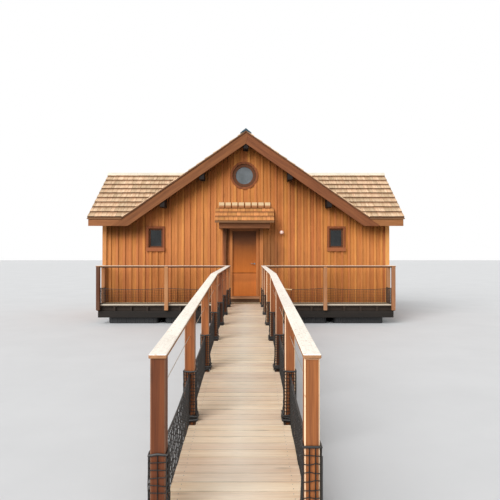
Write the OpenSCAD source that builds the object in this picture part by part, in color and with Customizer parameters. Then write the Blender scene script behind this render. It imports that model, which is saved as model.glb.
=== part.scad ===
// Floating timber boathouse: a cross-gabled cabin on a float platform, with its railed gangway.
// Lengths are in millimetres, +Z is up and +Y runs from the shore towards the cabin.
// The origin lies at the water line, on the gangway's centre line, under the front wall's face.

/* [Cabin] */
// Width of the cabin over its side walls
cabin_w = 8460; // [7600:20:9600]
// Depth of the cabin over its front and rear walls
cabin_d = 3640; // [3000:20:4600]
// Thickness of a wall with its cladding
wall_t = 200; // [160:5:240]
// Thickness of the built floor inside
floor_t = 158; // [120:2:200]
// Width of a corner board on each face
corner_w = 100; // [60:5:160]
// Thickness of the corner boards and casings
trim_t = 20; // [12:1:30]

/* [Roof] */
// Slope of every roof face, in degrees
pitch = 34.9; // [28:0.1:40]
// Height of the roof surface at the eaves, above the deck
eave_h = 2520; // [2400:10:2800]
// Half of the main gable's span at the height of the eaves
gable_half = 3570; // [3000:10:3700]
// How far the roof stands out over the front and rear walls
verge_over = 450; // [300:10:600]
// How far the wing roofs stand out over the side walls
side_over = 310; // [200:10:450]
// Thickness of the shingle covering, square to the slope
shingle_t = 55; // [45:1:75]
// Thickness of the roof deck and its rafters, square to the slope
roof_deck_t = 110; // [80:5:160]
// Height of slope that one course of shingles shows
exposure = 290; // [200:5:340]
// Thickness of a shingle's butt
butt_t = 22; // [14:1:30]
// How far the shingles stand out past the boards
drip = 30; // [15:1:45]
// Depth of the bargeboards, square to the slope
barge_depth = 270; // [200:5:320]
// How far the left bargeboard's end runs past the apex
barge_lap = 65; // [20:5:90]
// Thickness of bargeboards and fascias
barge_t = 35; // [25:1:50]
// Height of the eaves fascias
fascia_h = 215; // [160:5:240]
// Depth of the bargeboards on the wing gables, square to the slope
rake_depth = 180; // [140:5:220]
// Width of a leg of the main ridge cap
cap_leg = 160; // [120:5:220]
// Width of a leg of the wing ridge caps
wing_cap_leg = 95; // [60:5:120]
// Thickness of the main ridge cap
cap_t = 26; // [10:1:40]
// Thickness of the wing ridge caps
wing_cap_t = 16; // [8:1:30]
// Thickness of a cap at its fold, as a multiple of its legs' thickness
cap_fold = 1.6; // [1:0.1:2]
// How far the ridge caps stand out past the shingles
cap_out = 15; // [5:1:30]
// Width of a purlin
purlin_w = 140; // [100:5:180]
// Height of a purlin under the roof deck
purlin_h = 330; // [200:10:380]
// Distance of the lower purlins from the ridge
low_purlin_x = 2420; // [2100:10:2700]
// Distance of the upper purlins from the ridge
high_purlin_x = 1280; // [1000:10:1500]

/* [Windows] */
// Distance of the small windows from the centre line
window_x = 2680; // [2300:10:3000]
// Height of the small windows' openings above the deck
window_z = 1620; // [1400:10:1700]
// Width of a small window's opening
window_w = 420; // [300:10:600]
// Height of a small window's opening
window_h = 567; // [450:1:700]
// Width of the casing round a small window
casing_w = 85; // [50:5:110]
// Width of a small window's sash bars
sash_w = 72; // [40:2:90]
// Thickness of every sash
sash_t = 60; // [40:2:80]
// How far the sashes are set back from the wall's face
sash_set = 50; // [30:5:90]
// Height of the sill under a small window
sill_h = 110; // [60:5:130]
// How far a window sill stands out
sill_out = 55; // [35:5:80]
// Thickness of the glass
glass_t = 10; // [6:1:24]
// Diameter of the round window's opening
round_d = 700; // [560:10:720]
// Diameter of the round window's outer ring
round_ring_d = 820; // [760:10:860]
// Diameter of the round window's visible glass
round_glass_d = 510; // [400:10:540]
// Height of the round window's centre above the deck
round_z = 3760; // [3600:10:3850]

/* [Door] */
// Distance of the doorway's centre from the centre line
doorway_x = -90; // [-150:5:0]
// Width of the doorway in the wall
doorway_w = 1000; // [950:10:1050]
// Height of the doorway's head above the deck
doorway_h = 2230; // [2210:10:2300]
// Distance of the leaf's centre from the centre line
leaf_x = -50; // [-80:5:-20]
// Width of the door leaf
leaf_w = 730; // [680:5:760]
// Height of the door leaf
leaf_h = 1955; // [1900:5:1990]
// Thickness of the door leaf
leaf_t = 45; // [38:1:60]
// Height of the threshold above the deck
threshold_h = 170; // [160:2:190]
// Running clearance under and over the leaf and at its hinge edge
leaf_gap = 5; // [5:0.5:7]
// Running clearance at the leaf's free edge
latch_gap = 8; // [8:0.5:10]
// How far the door stops overlap the leaf
stop_lap = 12; // [8:1:16]
// Width of the door frame that shows beside the leaf
jamb_w = 67; // [50:1:75]
// How far the stops stand forward of the leaf
stop_d = 55; // [30:5:70]
// How far the outer frame stands forward of the leaf
frame_d = 25; // [10:5:40]
// How far the threshold stands out from the wall
nose_out = 30; // [10:5:50]
// Height of the threshold's nose
nose_h = 75; // [40:5:90]
// Fall of the threshold's top
nose_fall = 6; // [3:1:12]
// Height of the rail joint in the leaf, above its lower edge
rail_joint_z = 675; // [500:5:900]
// Width of the groove at the rail joint
groove_w = 12; // [6:1:20]
// Height of the handle above the leaf's lower edge
handle_z = 965; // [900:5:1100]
// Distance of the handle from the leaf's free edge
handle_in = 60; // [45:5:80]
// Length of the handle's lever
lever_l = 125; // [100:5:140]
// Radius of the lever
lever_r = 9; // [7:1:12]
// Distance of the lever from the leaf's face
lever_out = 45; // [35:5:60]
// Radius of the handle's rose
rose_r = 26; // [20:1:32]
// Thickness of the rose
rose_t = 8; // [4:1:12]
// Radius of a hinge barrel
barrel_r = 9; // [7:0.5:11]
// Radius of a hinge pin
pin_r = 4.5; // [3.5:0.5:5.5]
// Length of one hinge
hinge_l = 110; // [90:5:140]
// Width of a hinge flap
flap_w = 35; // [25:1:40]
// Thickness of a hinge flap
flap_t = 3; // [2:0.5:4]
// Distance of the outer hinges from the leaf's ends
hinge_in = 180; // [120:10:250]
// Play between hinge parts
hinge_play = 0.3; // [0.2:0.05:0.6]

/* [Canopy] */
// Distance of the canopy's centre from the centre line
canopy_x = -40; // [-80:5:0]
// Width of the canopy's lowest course
canopy_w = 1710; // [1500:10:1900]
// How far the canopy stands out from the wall
canopy_out = 500; // [400:10:650]
// Height of the canopy's front edge above the deck
canopy_z = 2410; // [2380:5:2450]
// Slope of the canopy, in degrees
canopy_pitch = 40; // [30:1:42]
// Number of shingle courses on the canopy
canopy_courses = 3; // [2:1:4]
// Thickness of the canopy's covering, square to its slope
canopy_t = 60; // [45:1:80]
// Length of the canopy's front beam
canopy_beam_w = 1480; // [1300:10:1600]
// Height of the canopy's front beam
canopy_beam_h = 250; // [180:5:260]
// Thickness of the canopy's beam and arms
canopy_beam_t = 60; // [45:5:80]
// How far the canopy's beam is set back from its front edge
canopy_beam_in = 110; // [80:5:160]
// Number of shingles in the top row
top_row = 8; // [6:1:10]
// Width over the top row
top_row_w = 1555; // [1400:5:1650]
// Height of the top row
top_row_h = 130; // [80:5:150]
// How far the top row's shingles stand out at the foot
top_row_out = 75; // [60:5:100]

/* [Lamp] */
// Distance of the wall lamp from the centre line
lamp_x = 1055; // [900:5:1200]
// Height of the lamp above the deck
lamp_z = 2070; // [1900:10:2200]
// Diameter of the lamp's globe
globe_d = 120; // [80:5:160]
// Diameter of the lamp's wall plate
lamp_plate_d = 90; // [60:5:110]
// Thickness of the wall plate
lamp_plate_t = 14; // [8:1:20]
// Length of the lamp's neck
lamp_neck_l = 30; // [20:5:50]

/* [Platform] */
// Width of the walkway in front of and behind the cabin
walkway_w = 560; // [500:10:900]
// How far the platform stands out past the side walls
edge_w = 20; // [20:5:300]
// Thickness of the platform's deck
deck_t = 70; // [50:2:90]
// Height of the joists
joist_h = 124; // [100:2:160]
// Width of a joist
joist_w = 60; // [45:5:80]
// Number of joists
joist_count = 19; // [15:2:23]
// Thickness of the blocking between the joists
block_t = 45; // [35:5:60]
// Distance of the blocking from the joists' ends
block_in = 60; // [30:5:70]
// Height of the cross beams
beam_h = 190; // [150:5:240]
// Width of a cross beam
beam_w = 120; // [100:5:160]
// Number of cross beams under the platform
beam_count = 5; // [3:1:7]
// Height of the floats above the water
float_h = 186; // [140:2:300]
// Number of floats across the platform
float_columns = 5; // [5:2:7]
// Number of floats from front to back
float_rows = 3; // [2:1:4]
// Gap between neighbouring floats
float_gap = 190; // [100:10:240]
// Radius of a float's corners
float_r = 110; // [60:5:160]

/* [Railing] */
// Side of a square post
post_w = 100; // [80:5:120]
// Height of the handrail's top above the deck
rail_h = 1100; // [1000:10:1200]
// Width of the handrail
handrail_w = 116; // [90:2:140]
// Thickness of the handrail
handrail_t = 27; // [20:1:40]
// How far an edge post runs down past the deck's top
post_drop = 170; // [130:5:190]
// Distance of the middle posts from the centre line
mid_post_x = 2260; // [2000:10:2500]
// Gap between the posts at the walls and the corner boards
post_gap = 5; // [2:1:15]
// Height of the nets
net_h = 470; // [350:10:600]
// Thickness of the nets' solids
net_t = 6; // [5:1:10]
// Depth of the upper wire below the handrail's top
wire_a = 110; // [90:5:140]
// Depth of the lower wire below the handrail's top
wire_b = 270; // [200:5:320]
// Diameter of a wire
wire_d = 6; // [4:1:10]

/* [Gangway] */
// Clear width between the gangway's posts
clear_w = 890; // [800:10:1100]
// Distance from one gangway post to the next
bay = 1775; // [1500:5:1900]
// Number of bays in the level walkway
level_bays = 3; // [2:1:4]
// Number of bays in the ramp
ramp_bays = 3; // [2:1:4]
// Distance of the last level post from the cabin's face
last_post_y = 1285; // [1000:5:1600]
// Fall of the ramp, as a slope
ramp_slope = 0.058; // [0.02:0.001:0.065]
// Length of ramp past its first post
ramp_end = 170; // [120:5:200]
// How far the handrails stand out past the ramp's first posts
rail_nose = 15; // [5:1:30]
// How far the boards stand out over the stringers
board_over = 45; // [20:5:45]
// Thickness of the gangway's boards
board_t = 45; // [30:1:50]
// Height of a stringer
stringer_h = 150; // [120:5:160]
// Width of a stringer
stringer_w = 60; // [50:5:80]
// Number of floats under the level walkway
walk_floats = 3; // [2:1:4]
// Length of a float under the walkway
walk_float_l = 1300; // [900:50:1400]
// Height of the sleeper under the ramp's shore end
sill_t = 75; // [40:5:80]

/* [Hidden] */
$fn = 48;

// Open joint between boards that meet
joint = 2;
// Length added to a cutting body so that it clears the faces it cuts
clear = 50;
// Clearance where one sloping face lies on another
seat = 0.05;

// Heights of the platform, from the water up
deck_z = float_h + beam_h + joist_h + deck_t;
deck_front = -walkway_w;
deck_back = cabin_d + walkway_w;
platform_w = cabin_w + 2 * edge_w;
platform_half = platform_w / 2;

// Roof lines: the reference plane is the line of the shingles' butts
rise = tan(pitch);
eave_z = deck_z + eave_h;
apex_z = eave_z + gable_half * rise;
verge_front = -verge_over;
verge_back = cabin_d + verge_over;
mid_y = cabin_d / 2;
wing_run = mid_y - verge_front;
ridge_z = eave_z + wing_run * rise;
roof_half = cabin_w / 2 + side_over;
shingle_v = shingle_t / cos(pitch);
roof_deck_v = roof_deck_t / cos(pitch);
roof_v = shingle_v + roof_deck_v;
butt_v = butt_t / cos(pitch);
barge_v = barge_depth / cos(pitch);
course_run = exposure * cos(pitch);
fascia_top = eave_z - shingle_v;
fascia_bottom = fascia_top - fascia_h;

// Doorway and leaf
doorway_left = doorway_x - doorway_w / 2;
doorway_right = doorway_x + doorway_w / 2;
doorway_top = deck_z + doorway_h;
sill_z = deck_z + threshold_h;
leaf_left = leaf_x - leaf_w / 2;
leaf_right = leaf_x + leaf_w / 2;
leaf_z = sill_z + leaf_gap;
leaf_top = leaf_z + leaf_h;
leaf_back = wall_t;
leaf_front = wall_t - leaf_t;
hinge_x = leaf_left - leaf_gap / 2;
hinge_y = leaf_back + barrel_r;

// Railing and gangway lines
post_x = clear_w / 2 + post_w / 2;
edge_post_y = deck_front - post_w / 2;
wall_post_y = -trim_t - post_w / 2 - post_gap;
corner_post_x = platform_half - post_w / 2;
kink_y = -last_post_y - level_bays * bay;
first_post_y = kink_y - ramp_bays * bay;
ramp_y = first_post_y - ramp_end;
board_half = clear_w / 2 + board_over;
rail_under = deck_z + rail_h - handrail_t;

// Height of the walking surface along the gangway
function walk_z(y) = y < kink_y ? deck_z - (kink_y - y) * ramp_slope : deck_z;

// Outline along the gangway between two depths below the walking surface
function walk_band(y0, y1, low, high) =
    let(bends = (y0 < kink_y && kink_y < y1) ? [kink_y] : [])
    concat(
        [for (y = concat([y0], bends, [y1])) [y, walk_z(y) + low]],
        [for (y = concat([y1], bends, [y0])) [y, walk_z(y) + high]]
    );

// The same outline in two pieces, with an open joint at the top of the ramp
module jointed_band(y0, y1, low, high) {
    polygon(walk_band(y0, kink_y - joint / 2, low, high));
    polygon(walk_band(kink_y + joint / 2, y1, low, high));
}

// Post positions along the level walkway and the ramp
gangway_post_ys = [for (k = [-ramp_bays : level_bays]) kink_y + k * bay];

// Stepped top line of a shingled slope, from its eave at u = 0 up to u = run
function course_points(run, step, slope, butt, lip) =
    [for (k = [0 : ceil(run / step) - 1])
        let(u0 = k == 0 ? -lip : k * step, u1 = min((k + 1) * step, run))
        each [[u0, u0 * slope], [u1, u1 * slope - butt * (u1 - k * step) / step]]];

// Height of the stepped line at u, for the pieces that lie on it
function course_z(u, step, slope, butt) = u * slope - butt * (u / step - floor(u / step));

// Profiles extruded along X, with u along +Y, or along Y, with u along +X
module along_x(x0, x1) {
    translate([x0, 0, 0]) rotate([90, 0, 90]) linear_extrude(x1 - x0) children();
}

module along_y(y0, y1) {
    translate([0, y1, 0]) rotate([90, 0, 0]) linear_extrude(y1 - y0) children();
}

module block(x0, x1, y0, y1, z0, z1) {
    translate([x0, y0, z0]) cube([x1 - x0, y1 - y0, z1 - z0]);
}

// Whichever part of a shape lies on the named side, made from the shape for the left
module on_side(side) {
    if (side < 0) children();
    else mirror([1, 0, 0]) children();
}

// Plan of the left main slope between the valleys, standing out by lip past the verge
module main_plan(lip) {
    polygon([
        [0, verge_front - lip], [-gable_half - lip, verge_front - lip],
        [-gable_half + wing_run, mid_y],
        [-gable_half - lip, verge_back + lip], [0, verge_back + lip]
    ]);
}

// Plan of the left wing roof, outside the valleys
module wing_plan(lip, inset) {
    polygon([
        [-roof_half - lip, verge_front - inset], [-gable_half - inset, verge_front - inset],
        [-gable_half + wing_run, mid_y],
        [-gable_half - inset, verge_back + inset], [-roof_half - lip, verge_back + inset]
    ]);
}

module plan_column() {
    linear_extrude(apex_z + clear) children();
}

// Everything under the main slopes
module main_hollow() {
    along_y(verge_front, verge_back) polygon([
        [-gable_half, 0], [-gable_half, eave_z - roof_v - seat], [0, apex_z - roof_v - seat],
        [gable_half, eave_z - roof_v - seat], [gable_half, 0]
    ]);
}

// Everything under the roof deck: walls are cut from it, so they meet the roof
module roof_hollow() {
    main_hollow();
    along_x(-roof_half, roof_half) polygon([
        [verge_front, 0], [verge_front, eave_z - roof_v - seat], [mid_y, ridge_z - roof_v - seat],
        [verge_back, eave_z - roof_v - seat], [verge_back, 0]
    ]);
}

module rounded_float(w, l) {
    linear_extrude(float_h) {
        square([w - 2 * float_r, l], center = true);
        square([w, l - 2 * float_r], center = true);
        for (x = [-1, 1], y = [-1, 1])
            translate([x * (w / 2 - float_r), y * (l / 2 - float_r)]) circle(float_r);
    }
}

// Floats
float_w = (platform_w - 2 * float_gap) / float_columns - float_gap;
float_l = (deck_back - deck_front - beam_w) / float_rows - float_gap;
walk_float_w = clear_w + post_w;
walk_pitch = (-kink_y - walkway_w - walk_float_l) / (walk_floats - 1);

module floats() {
    color([0.10, 0.10, 0.11]) {
        for (i = [0 : float_columns - 1], j = [0 : float_rows - 1])
            translate([
                (i - (float_columns - 1) / 2) * (float_w + float_gap),
                mid_y + (j - (float_rows - 1) / 2) * (float_l + float_gap), 0
            ])
                rounded_float(float_w, float_l);
        for (k = [0 : walk_floats - 1])
            translate([0, walk_float_y(k), 0]) rounded_float(walk_float_w, walk_float_l);
    }
}

function walk_float_y(k) = kink_y - post_w + walk_float_l / 2 + k * (walk_pitch - post_w);

// Timber that crosses the floats: beams under the platform, bearers under the walkway,
// and the sleeper under the ramp's shore end
module cross_beams() {
    color([0.30, 0.19, 0.15]) {
        for (k = [0 : beam_count - 1])
            let(y = deck_front + beam_w / 2 + k * (deck_back - deck_front - beam_w) / (beam_count - 1))
                block(-platform_half + joist_w / 2, platform_half - joist_w / 2, y - beam_w / 2,
                    y + beam_w / 2, float_h, float_h + beam_h);
        for (k = [0 : walk_floats - 1], s = [-1, 1])
            let(y = walk_float_y(k) + s * (walk_float_l / 2 - beam_w * 1.5))
                block(-walk_float_w / 2, walk_float_w / 2, y - beam_w / 2, y + beam_w / 2,
                    float_h, deck_z - board_t - stringer_h);
        block(-clear_w / 2, clear_w / 2, ramp_y, ramp_y + 2 * beam_w, 0, sill_t);
    }
}

// Joists, with a row of blocking between them over the first and the last cross beam
module joists() {
    low = float_h + beam_h;
    half = platform_half - joist_w;
    color([0.55, 0.40, 0.27]) {
        for (k = [0 : joist_count - 1])
            let(x = (k - (joist_count - 1) / 2) * (platform_w - joist_w) / (joist_count - 1))
                block(x - joist_w / 2, x + joist_w / 2, deck_front, deck_back, low, low + joist_h);
        for (y = [deck_front + block_in, deck_back - block_in - block_t])
            block(-half, half, y, y + block_t, low, low + joist_h);
    }
}

module platform_deck() {
    color([0.80, 0.68, 0.54])
        block(-platform_half, platform_half, deck_front, deck_back, deck_z - deck_t, deck_z);
}

rear_post_xs = [-corner_post_x, -corner_post_x / 2, 0, corner_post_x / 2, corner_post_x];
front_post_xs = [-corner_post_x, -mid_post_x, -post_x, post_x, mid_post_x, corner_post_x];

module post(x, y, z) {
    block(x - post_w / 2, x + post_w / 2, y - post_w / 2, y + post_w / 2, z, rail_under);
}

module platform_posts() {
    color([0.72, 0.46, 0.28]) {
        for (x = front_post_xs) post(x, edge_post_y, deck_z - post_drop);
        for (x = rear_post_xs) post(x, deck_back + post_w / 2, deck_z - post_drop);
        for (s = [-1, 1], y = [wall_post_y, cabin_d - wall_post_y])
            post(s * corner_post_x, y, deck_z);
    }
}

// Flat handrails: a long board on each edge, and a short return to the wall at each corner
module platform_handrails() {
    half = handrail_w / 2;
    rear_y = deck_back + post_w / 2;
    z0 = rail_under;
    z1 = rail_under + handrail_t;
    color([0.95, 0.86, 0.70]) {
        for (s = [-1, 1]) on_side(s) {
            block(-corner_post_x - half, -post_x - half, edge_post_y - half, edge_post_y + half,
                z0, z1);
            block(-corner_post_x - half, -corner_post_x + half, edge_post_y + half + joint,
                wall_post_y + post_w / 2, z0, z1);
            block(-corner_post_x - half, -corner_post_x + half,
                cabin_d - wall_post_y - post_w / 2, rear_y - half - joint, z0, z1);
        }
        block(-corner_post_x - half, corner_post_x + half, rear_y - half, rear_y + half, z0, z1);
    }
}

// Nets stand on the deck against the posts' inner faces
module platform_nets() {
    inner = corner_post_x - post_w / 2;
    color([0.08, 0.07, 0.06]) {
        for (s = [-1, 1]) on_side(s) {
            block(-platform_half, -post_x + post_w / 2, deck_front, deck_front + net_t,
                deck_z, deck_z + net_h);
            block(-inner, -inner + net_t, deck_front + net_t + joint, wall_post_y + post_w / 2,
                deck_z, deck_z + net_h);
            block(-inner, -inner + net_t, cabin_d - wall_post_y - post_w / 2, deck_back - net_t - joint,
                deck_z, deck_z + net_h);
        }
        block(-platform_half, platform_half, deck_back - net_t, deck_back, deck_z, deck_z + net_h);
    }
}

// Two stringers a section: level to the platform, sloping to the shore
module stringers() {
    low = -board_t - stringer_h;
    color([0.48, 0.33, 0.22]) for (s = [-1, 1]) on_side(s) {
        along_x(-clear_w / 2, -clear_w / 2 + stringer_w)
            polygon(walk_band(kink_y + joint, deck_front, low, -board_t));
        difference() {
            along_x(-clear_w / 2, -clear_w / 2 + stringer_w)
                polygon(walk_band(ramp_y, kink_y, low, -board_t));
            block(-clear_w, 0, ramp_y - clear, ramp_y + 2 * beam_w + clear, -clear, sill_t);
        }
    }
}

// Boards as a slab, notched round the posts
module walk_slab(y0, y1) {
    difference() {
        along_x(-board_half, board_half) polygon(walk_band(y0, y1, -board_t, 0));
        for (s = [-1, 1], y = concat(gangway_post_ys, [edge_post_y]))
            block(s * post_x - post_w / 2, s * post_x + post_w / 2, y - post_w / 2, y + post_w / 2,
                -clear, deck_z + clear);
    }
}

module gangway_deck() {
    color([0.86, 0.74, 0.60]) walk_slab(kink_y + joint, deck_front);
}

module ramp_deck() {
    color([0.86, 0.74, 0.60]) walk_slab(ramp_y, kink_y);
}

// Posts are bolted to the stringers' outer faces and carry the handrails
module gangway_posts() {
    color([0.72, 0.46, 0.28]) for (s = [-1, 1]) intersection() {
        along_x(s * post_x - post_w / 2, s * post_x + post_w / 2)
            polygon(walk_band(first_post_y - post_w, 0, -board_t - stringer_h,
                rail_h - handrail_t - seat));
        for (y = gangway_post_ys)
            block(s * post_x - post_w / 2, s * post_x + post_w / 2, y - post_w / 2, y + post_w / 2,
                -clear, deck_z + rail_h);
    }
}

module gangway_handrails() {
    ends = [first_post_y - post_w / 2 - rail_nose, edge_post_y + handrail_w / 2];
    color([0.95, 0.86, 0.70]) for (s = [-1, 1])
        along_x(s * post_x - handrail_w / 2, s * post_x + handrail_w / 2)
            jointed_band(ends[0], ends[1], rail_h - handrail_t, rail_h);
}

// Nets hang between the posts, just outside the boards' ends
module gangway_nets() {
    ys = concat(gangway_post_ys, [edge_post_y]);
    color([0.08, 0.07, 0.06]) for (s = [-1, 1], k = [0 : len(ys) - 2])
        along_x(s * post_x - net_t / 2, s * post_x + net_t / 2)
            polygon(walk_band(ys[k] + post_w / 2, ys[k + 1] - post_w / 2, -board_t, net_h));
}

// Wires are strained from post to post, in line along each side
module gangway_wires() {
    ys = concat(gangway_post_ys, [edge_post_y]);
    color([0.55, 0.55, 0.53])
        for (s = [-1, 1], drop = [wire_a, wire_b], k = [0 : len(ys) - 2])
            let(y0 = ys[k] + post_w / 2, y1 = ys[k + 1] - post_w / 2,
                z0 = walk_z(y0) + rail_h - drop, z1 = walk_z(y1) + rail_h - drop)
                translate([s * post_x, y0, z0])
                    rotate([-90 + atan2(z1 - z0, y1 - y0), 0, 0])
                        cylinder(h = norm([y1 - y0, z1 - z0]), d = wire_d, $fn = 8);
}

module cabin_floor() {
    color([0.70, 0.55, 0.38])
        block(-cabin_w / 2 + wall_t, cabin_w / 2 - wall_t, wall_t, cabin_d - wall_t,
            deck_z, deck_z + floor_t);
}

// Opening of a small window, or of a round one, through a wall
module window_hole(x, y) {
    block(x - window_w / 2, x + window_w / 2, y - clear, y + wall_t + clear,
        deck_z + window_z, deck_z + window_z + window_h);
}

module round_hole(y) {
    translate([leaf_x, y - clear, deck_z + round_z]) rotate([-90, 0, 0])
        cylinder(h = wall_t + 2 * clear, d = round_d);
}

module purlin_beams() {
    for (x = [-low_purlin_x, -high_purlin_x, 0, high_purlin_x, low_purlin_x]) intersection() {
        block(x - purlin_w / 2, x + purlin_w / 2, verge_front + barge_t, verge_back - barge_t,
            apex_z - roof_v - abs(x) * rise - purlin_h, apex_z);
        main_hollow();
    }
}

module wall_piece(x0, x1, y0, y1, z0) {
    intersection() {
        block(x0, x1, y0, y1, z0, apex_z);
        roof_hollow();
    }
}

module front_wall_left() {
    color([0.80, 0.53, 0.30]) difference() {
        wall_piece(-cabin_w / 2, doorway_left, 0, wall_t, deck_z);
        window_hole(-window_x, 0);
        purlin_beams();
    }
}

module front_wall_right() {
    color([0.80, 0.53, 0.30]) difference() {
        wall_piece(doorway_right, cabin_w / 2, 0, wall_t, deck_z);
        window_hole(window_x, 0);
        purlin_beams();
    }
}

// The middle of the front wall, over the doorway
module front_gable() {
    color([0.80, 0.53, 0.30]) difference() {
        wall_piece(doorway_left, doorway_right, 0, wall_t, doorway_top);
        round_hole(0);
        purlin_beams();
    }
}

module rear_wall() {
    color([0.80, 0.53, 0.30]) difference() {
        wall_piece(-cabin_w / 2, cabin_w / 2, cabin_d - wall_t, cabin_d, deck_z);
        for (s = [-1, 1]) window_hole(s * window_x, cabin_d - wall_t);
        round_hole(cabin_d - wall_t);
        purlin_beams();
    }
}

module left_wall() {
    color([0.80, 0.53, 0.30])
        wall_piece(-cabin_w / 2, -cabin_w / 2 + wall_t, wall_t, cabin_d - wall_t, deck_z);
}

module right_wall() {
    mirror([1, 0, 0]) left_wall();
}

module corner_boards() {
    half = cabin_w / 2;
    top = eave_z - roof_v + (verge_over - trim_t) * rise;
    color([0.88, 0.66, 0.42])
        for (s = [-1, 1], e = [0, 1]) on_side(s)
            translate([0, e * mid_y * 2, 0]) mirror([0, e, 0]) difference() {
                block(-half - trim_t, -half + corner_w, -trim_t, corner_w, deck_z, top);
                block(-half, -half + corner_w + clear, 0, corner_w + clear, 0, top + clear);
            }
}

// Roof decks: the two main slopes and the two wing roofs, mitred at the valleys
module main_deck(side) {
    color([0.50, 0.32, 0.20]) on_side(side) intersection() {
        along_y(verge_front + barge_t, verge_back - barge_t) translate([-gable_half, eave_z])
            polygon([
                [0, -roof_v], [gable_half, gable_half * rise - roof_v],
                [gable_half, gable_half * rise - shingle_v], [0, -shingle_v]
            ]);
        plan_column() main_plan(0);
    }
}

module main_roof_left() main_deck(-1);

module main_roof_right() main_deck(1);

module wing_deck(side) {
    color([0.50, 0.32, 0.20]) on_side(side) intersection() {
        along_x(-roof_half + barge_t, 0) translate([mid_y, ridge_z]) polygon([
            [-wing_run + barge_t, -(wing_run - barge_t) * rise - roof_v], [0, -roof_v],
            [wing_run - barge_t, -(wing_run - barge_t) * rise - roof_v],
            [wing_run - barge_t, -(wing_run - barge_t) * rise - shingle_v], [0, -shingle_v],
            [-wing_run + barge_t, -(wing_run - barge_t) * rise - shingle_v]
        ]);
        plan_column() wing_plan(0, 0);
    }
}

module wing_roof_left() wing_deck(-1);

module wing_roof_right() wing_deck(1);

// Shingle coverings, stepped course by course; the courses meet in line at the valleys
module main_cover(side) {
    color([0.88, 0.74, 0.55]) on_side(side) intersection() {
        along_y(verge_front - drip, verge_back + drip) translate([-gable_half, eave_z])
            polygon(concat(
                course_points(gable_half, course_run, rise, butt_v, drip),
                [[gable_half, gable_half * rise - shingle_v], [-drip, -drip * rise - shingle_v]]
            ));
        plan_column() main_plan(drip);
    }
}

module main_shingles_left() main_cover(-1);

module main_shingles_right() main_cover(1);

module wing_cover(side) {
    courses = course_points(wing_run, course_run, rise, butt_v, drip);
    last = len(courses) - 1;
    color([0.88, 0.74, 0.55]) on_side(side) intersection() {
        along_x(-roof_half - drip, 0) translate([mid_y, eave_z]) polygon(concat(
            [for (p = courses) [p[0] - wing_run, p[1]]],
            [for (k = [last : -1 : 0]) [wing_run - courses[k][0], courses[k][1]]],
            [[wing_run + drip, -drip * rise - shingle_v], [0, wing_run * rise - shingle_v],
                [-wing_run - drip, -drip * rise - shingle_v]]
        ));
        plan_column() wing_plan(drip, drip);
    }
}

module wing_shingles_left() wing_cover(-1);

module wing_shingles_right() wing_cover(1);

// Folded caps that lie on the last courses, step by step
module cap_profile(run, leg, thick) {
    start = run - leg;
    steps = [for (k = [ceil(start / course_run) : ceil(run / course_run) - 1]) k * course_run];
    foot = course_z(start, course_run, rise, butt_v);
    top = course_z(run, course_run, rise, butt_v);
    side = concat(
        [[-leg, foot + seat]],
        [for (u = steps) let(x = u - run - seat)
            each [[x, u * rise - butt_v + seat], [x, u * rise + seat]]]
    );
    polygon(concat(
        side, [[0, top + seat]],
        [for (k = [len(side) - 1 : -1 : 0]) [-side[k][0], side[k][1]]],
        [[leg, start * rise + thick], [0, run * rise + cap_fold * thick], [-leg, start * rise + thick]]
    ));
}

module main_ridge_cap() {
    color([0.10, 0.22, 0.27])
        along_y(verge_front - drip - cap_out, verge_back + drip + cap_out)
            translate([0, eave_z]) cap_profile(gable_half, cap_leg, cap_t);
}

module wing_ridge_caps() {
    color([0.85, 0.82, 0.75]) for (s = [-1, 1]) on_side(s) intersection() {
        along_x(-roof_half - drip - cap_out, 0)
            translate([mid_y, eave_z]) cap_profile(wing_run, wing_cap_leg, wing_cap_t);
        plan_column() wing_plan(drip + cap_out, drip);
    }
}

// Bargeboards run down past the fascias, which butt against their upper edges. At the apex
// the left board's end is cut on the slant, and the right board butts against it
module barge_outline() {
    top = apex_z - shingle_v - seat;
    low = top - barge_v;
    far = (top - fascia_bottom) / rise;
    near = (low - fascia_bottom) / rise;
    polygon([
        [0, low], [barge_lap, top - barge_lap * rise], [0, top], [-far, fascia_bottom],
        [-near, fascia_bottom]
    ]);
    polygon([
        [joint, low - joint * rise], [barge_lap + joint, top - (barge_lap + joint) * rise],
        [far, fascia_bottom], [near, fascia_bottom]
    ]);
}

module bargeboards() {
    color([0.70, 0.41, 0.27]) for (y = [verge_front, verge_back - barge_t])
        along_y(y, y + barge_t) barge_outline();
}

// Fascias at the eaves, and the bargeboards of the wing gables behind their ends
module fascias() {
    joint_x = (apex_z - shingle_v - fascia_bottom) / rise + joint;
    rake_v = rake_depth / cos(pitch);
    rake_run = wing_run - barge_t - joint;
    color([0.70, 0.41, 0.27]) for (s = [-1, 1]) on_side(s) {
        for (y = [verge_front, verge_back - barge_t]) along_y(y, y + barge_t) polygon([
            [-joint_x, fascia_bottom], [-roof_half, fascia_bottom], [-roof_half, fascia_top],
            [-joint_x + fascia_h / rise, fascia_top]
        ]);
        for (e = [-1, 1]) along_x(-roof_half, -roof_half + barge_t)
            translate([mid_y, ridge_z - shingle_v - seat]) polygon([
                [e * joint / 2, -joint / 2 * rise], [e * rake_run, -rake_run * rise],
                [e * rake_run, -rake_run * rise - rake_v], [e * joint / 2, -joint / 2 * rise - rake_v]
            ]);
    }
}

module purlins() {
    color([0.45, 0.29, 0.19]) purlin_beams();
}

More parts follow.
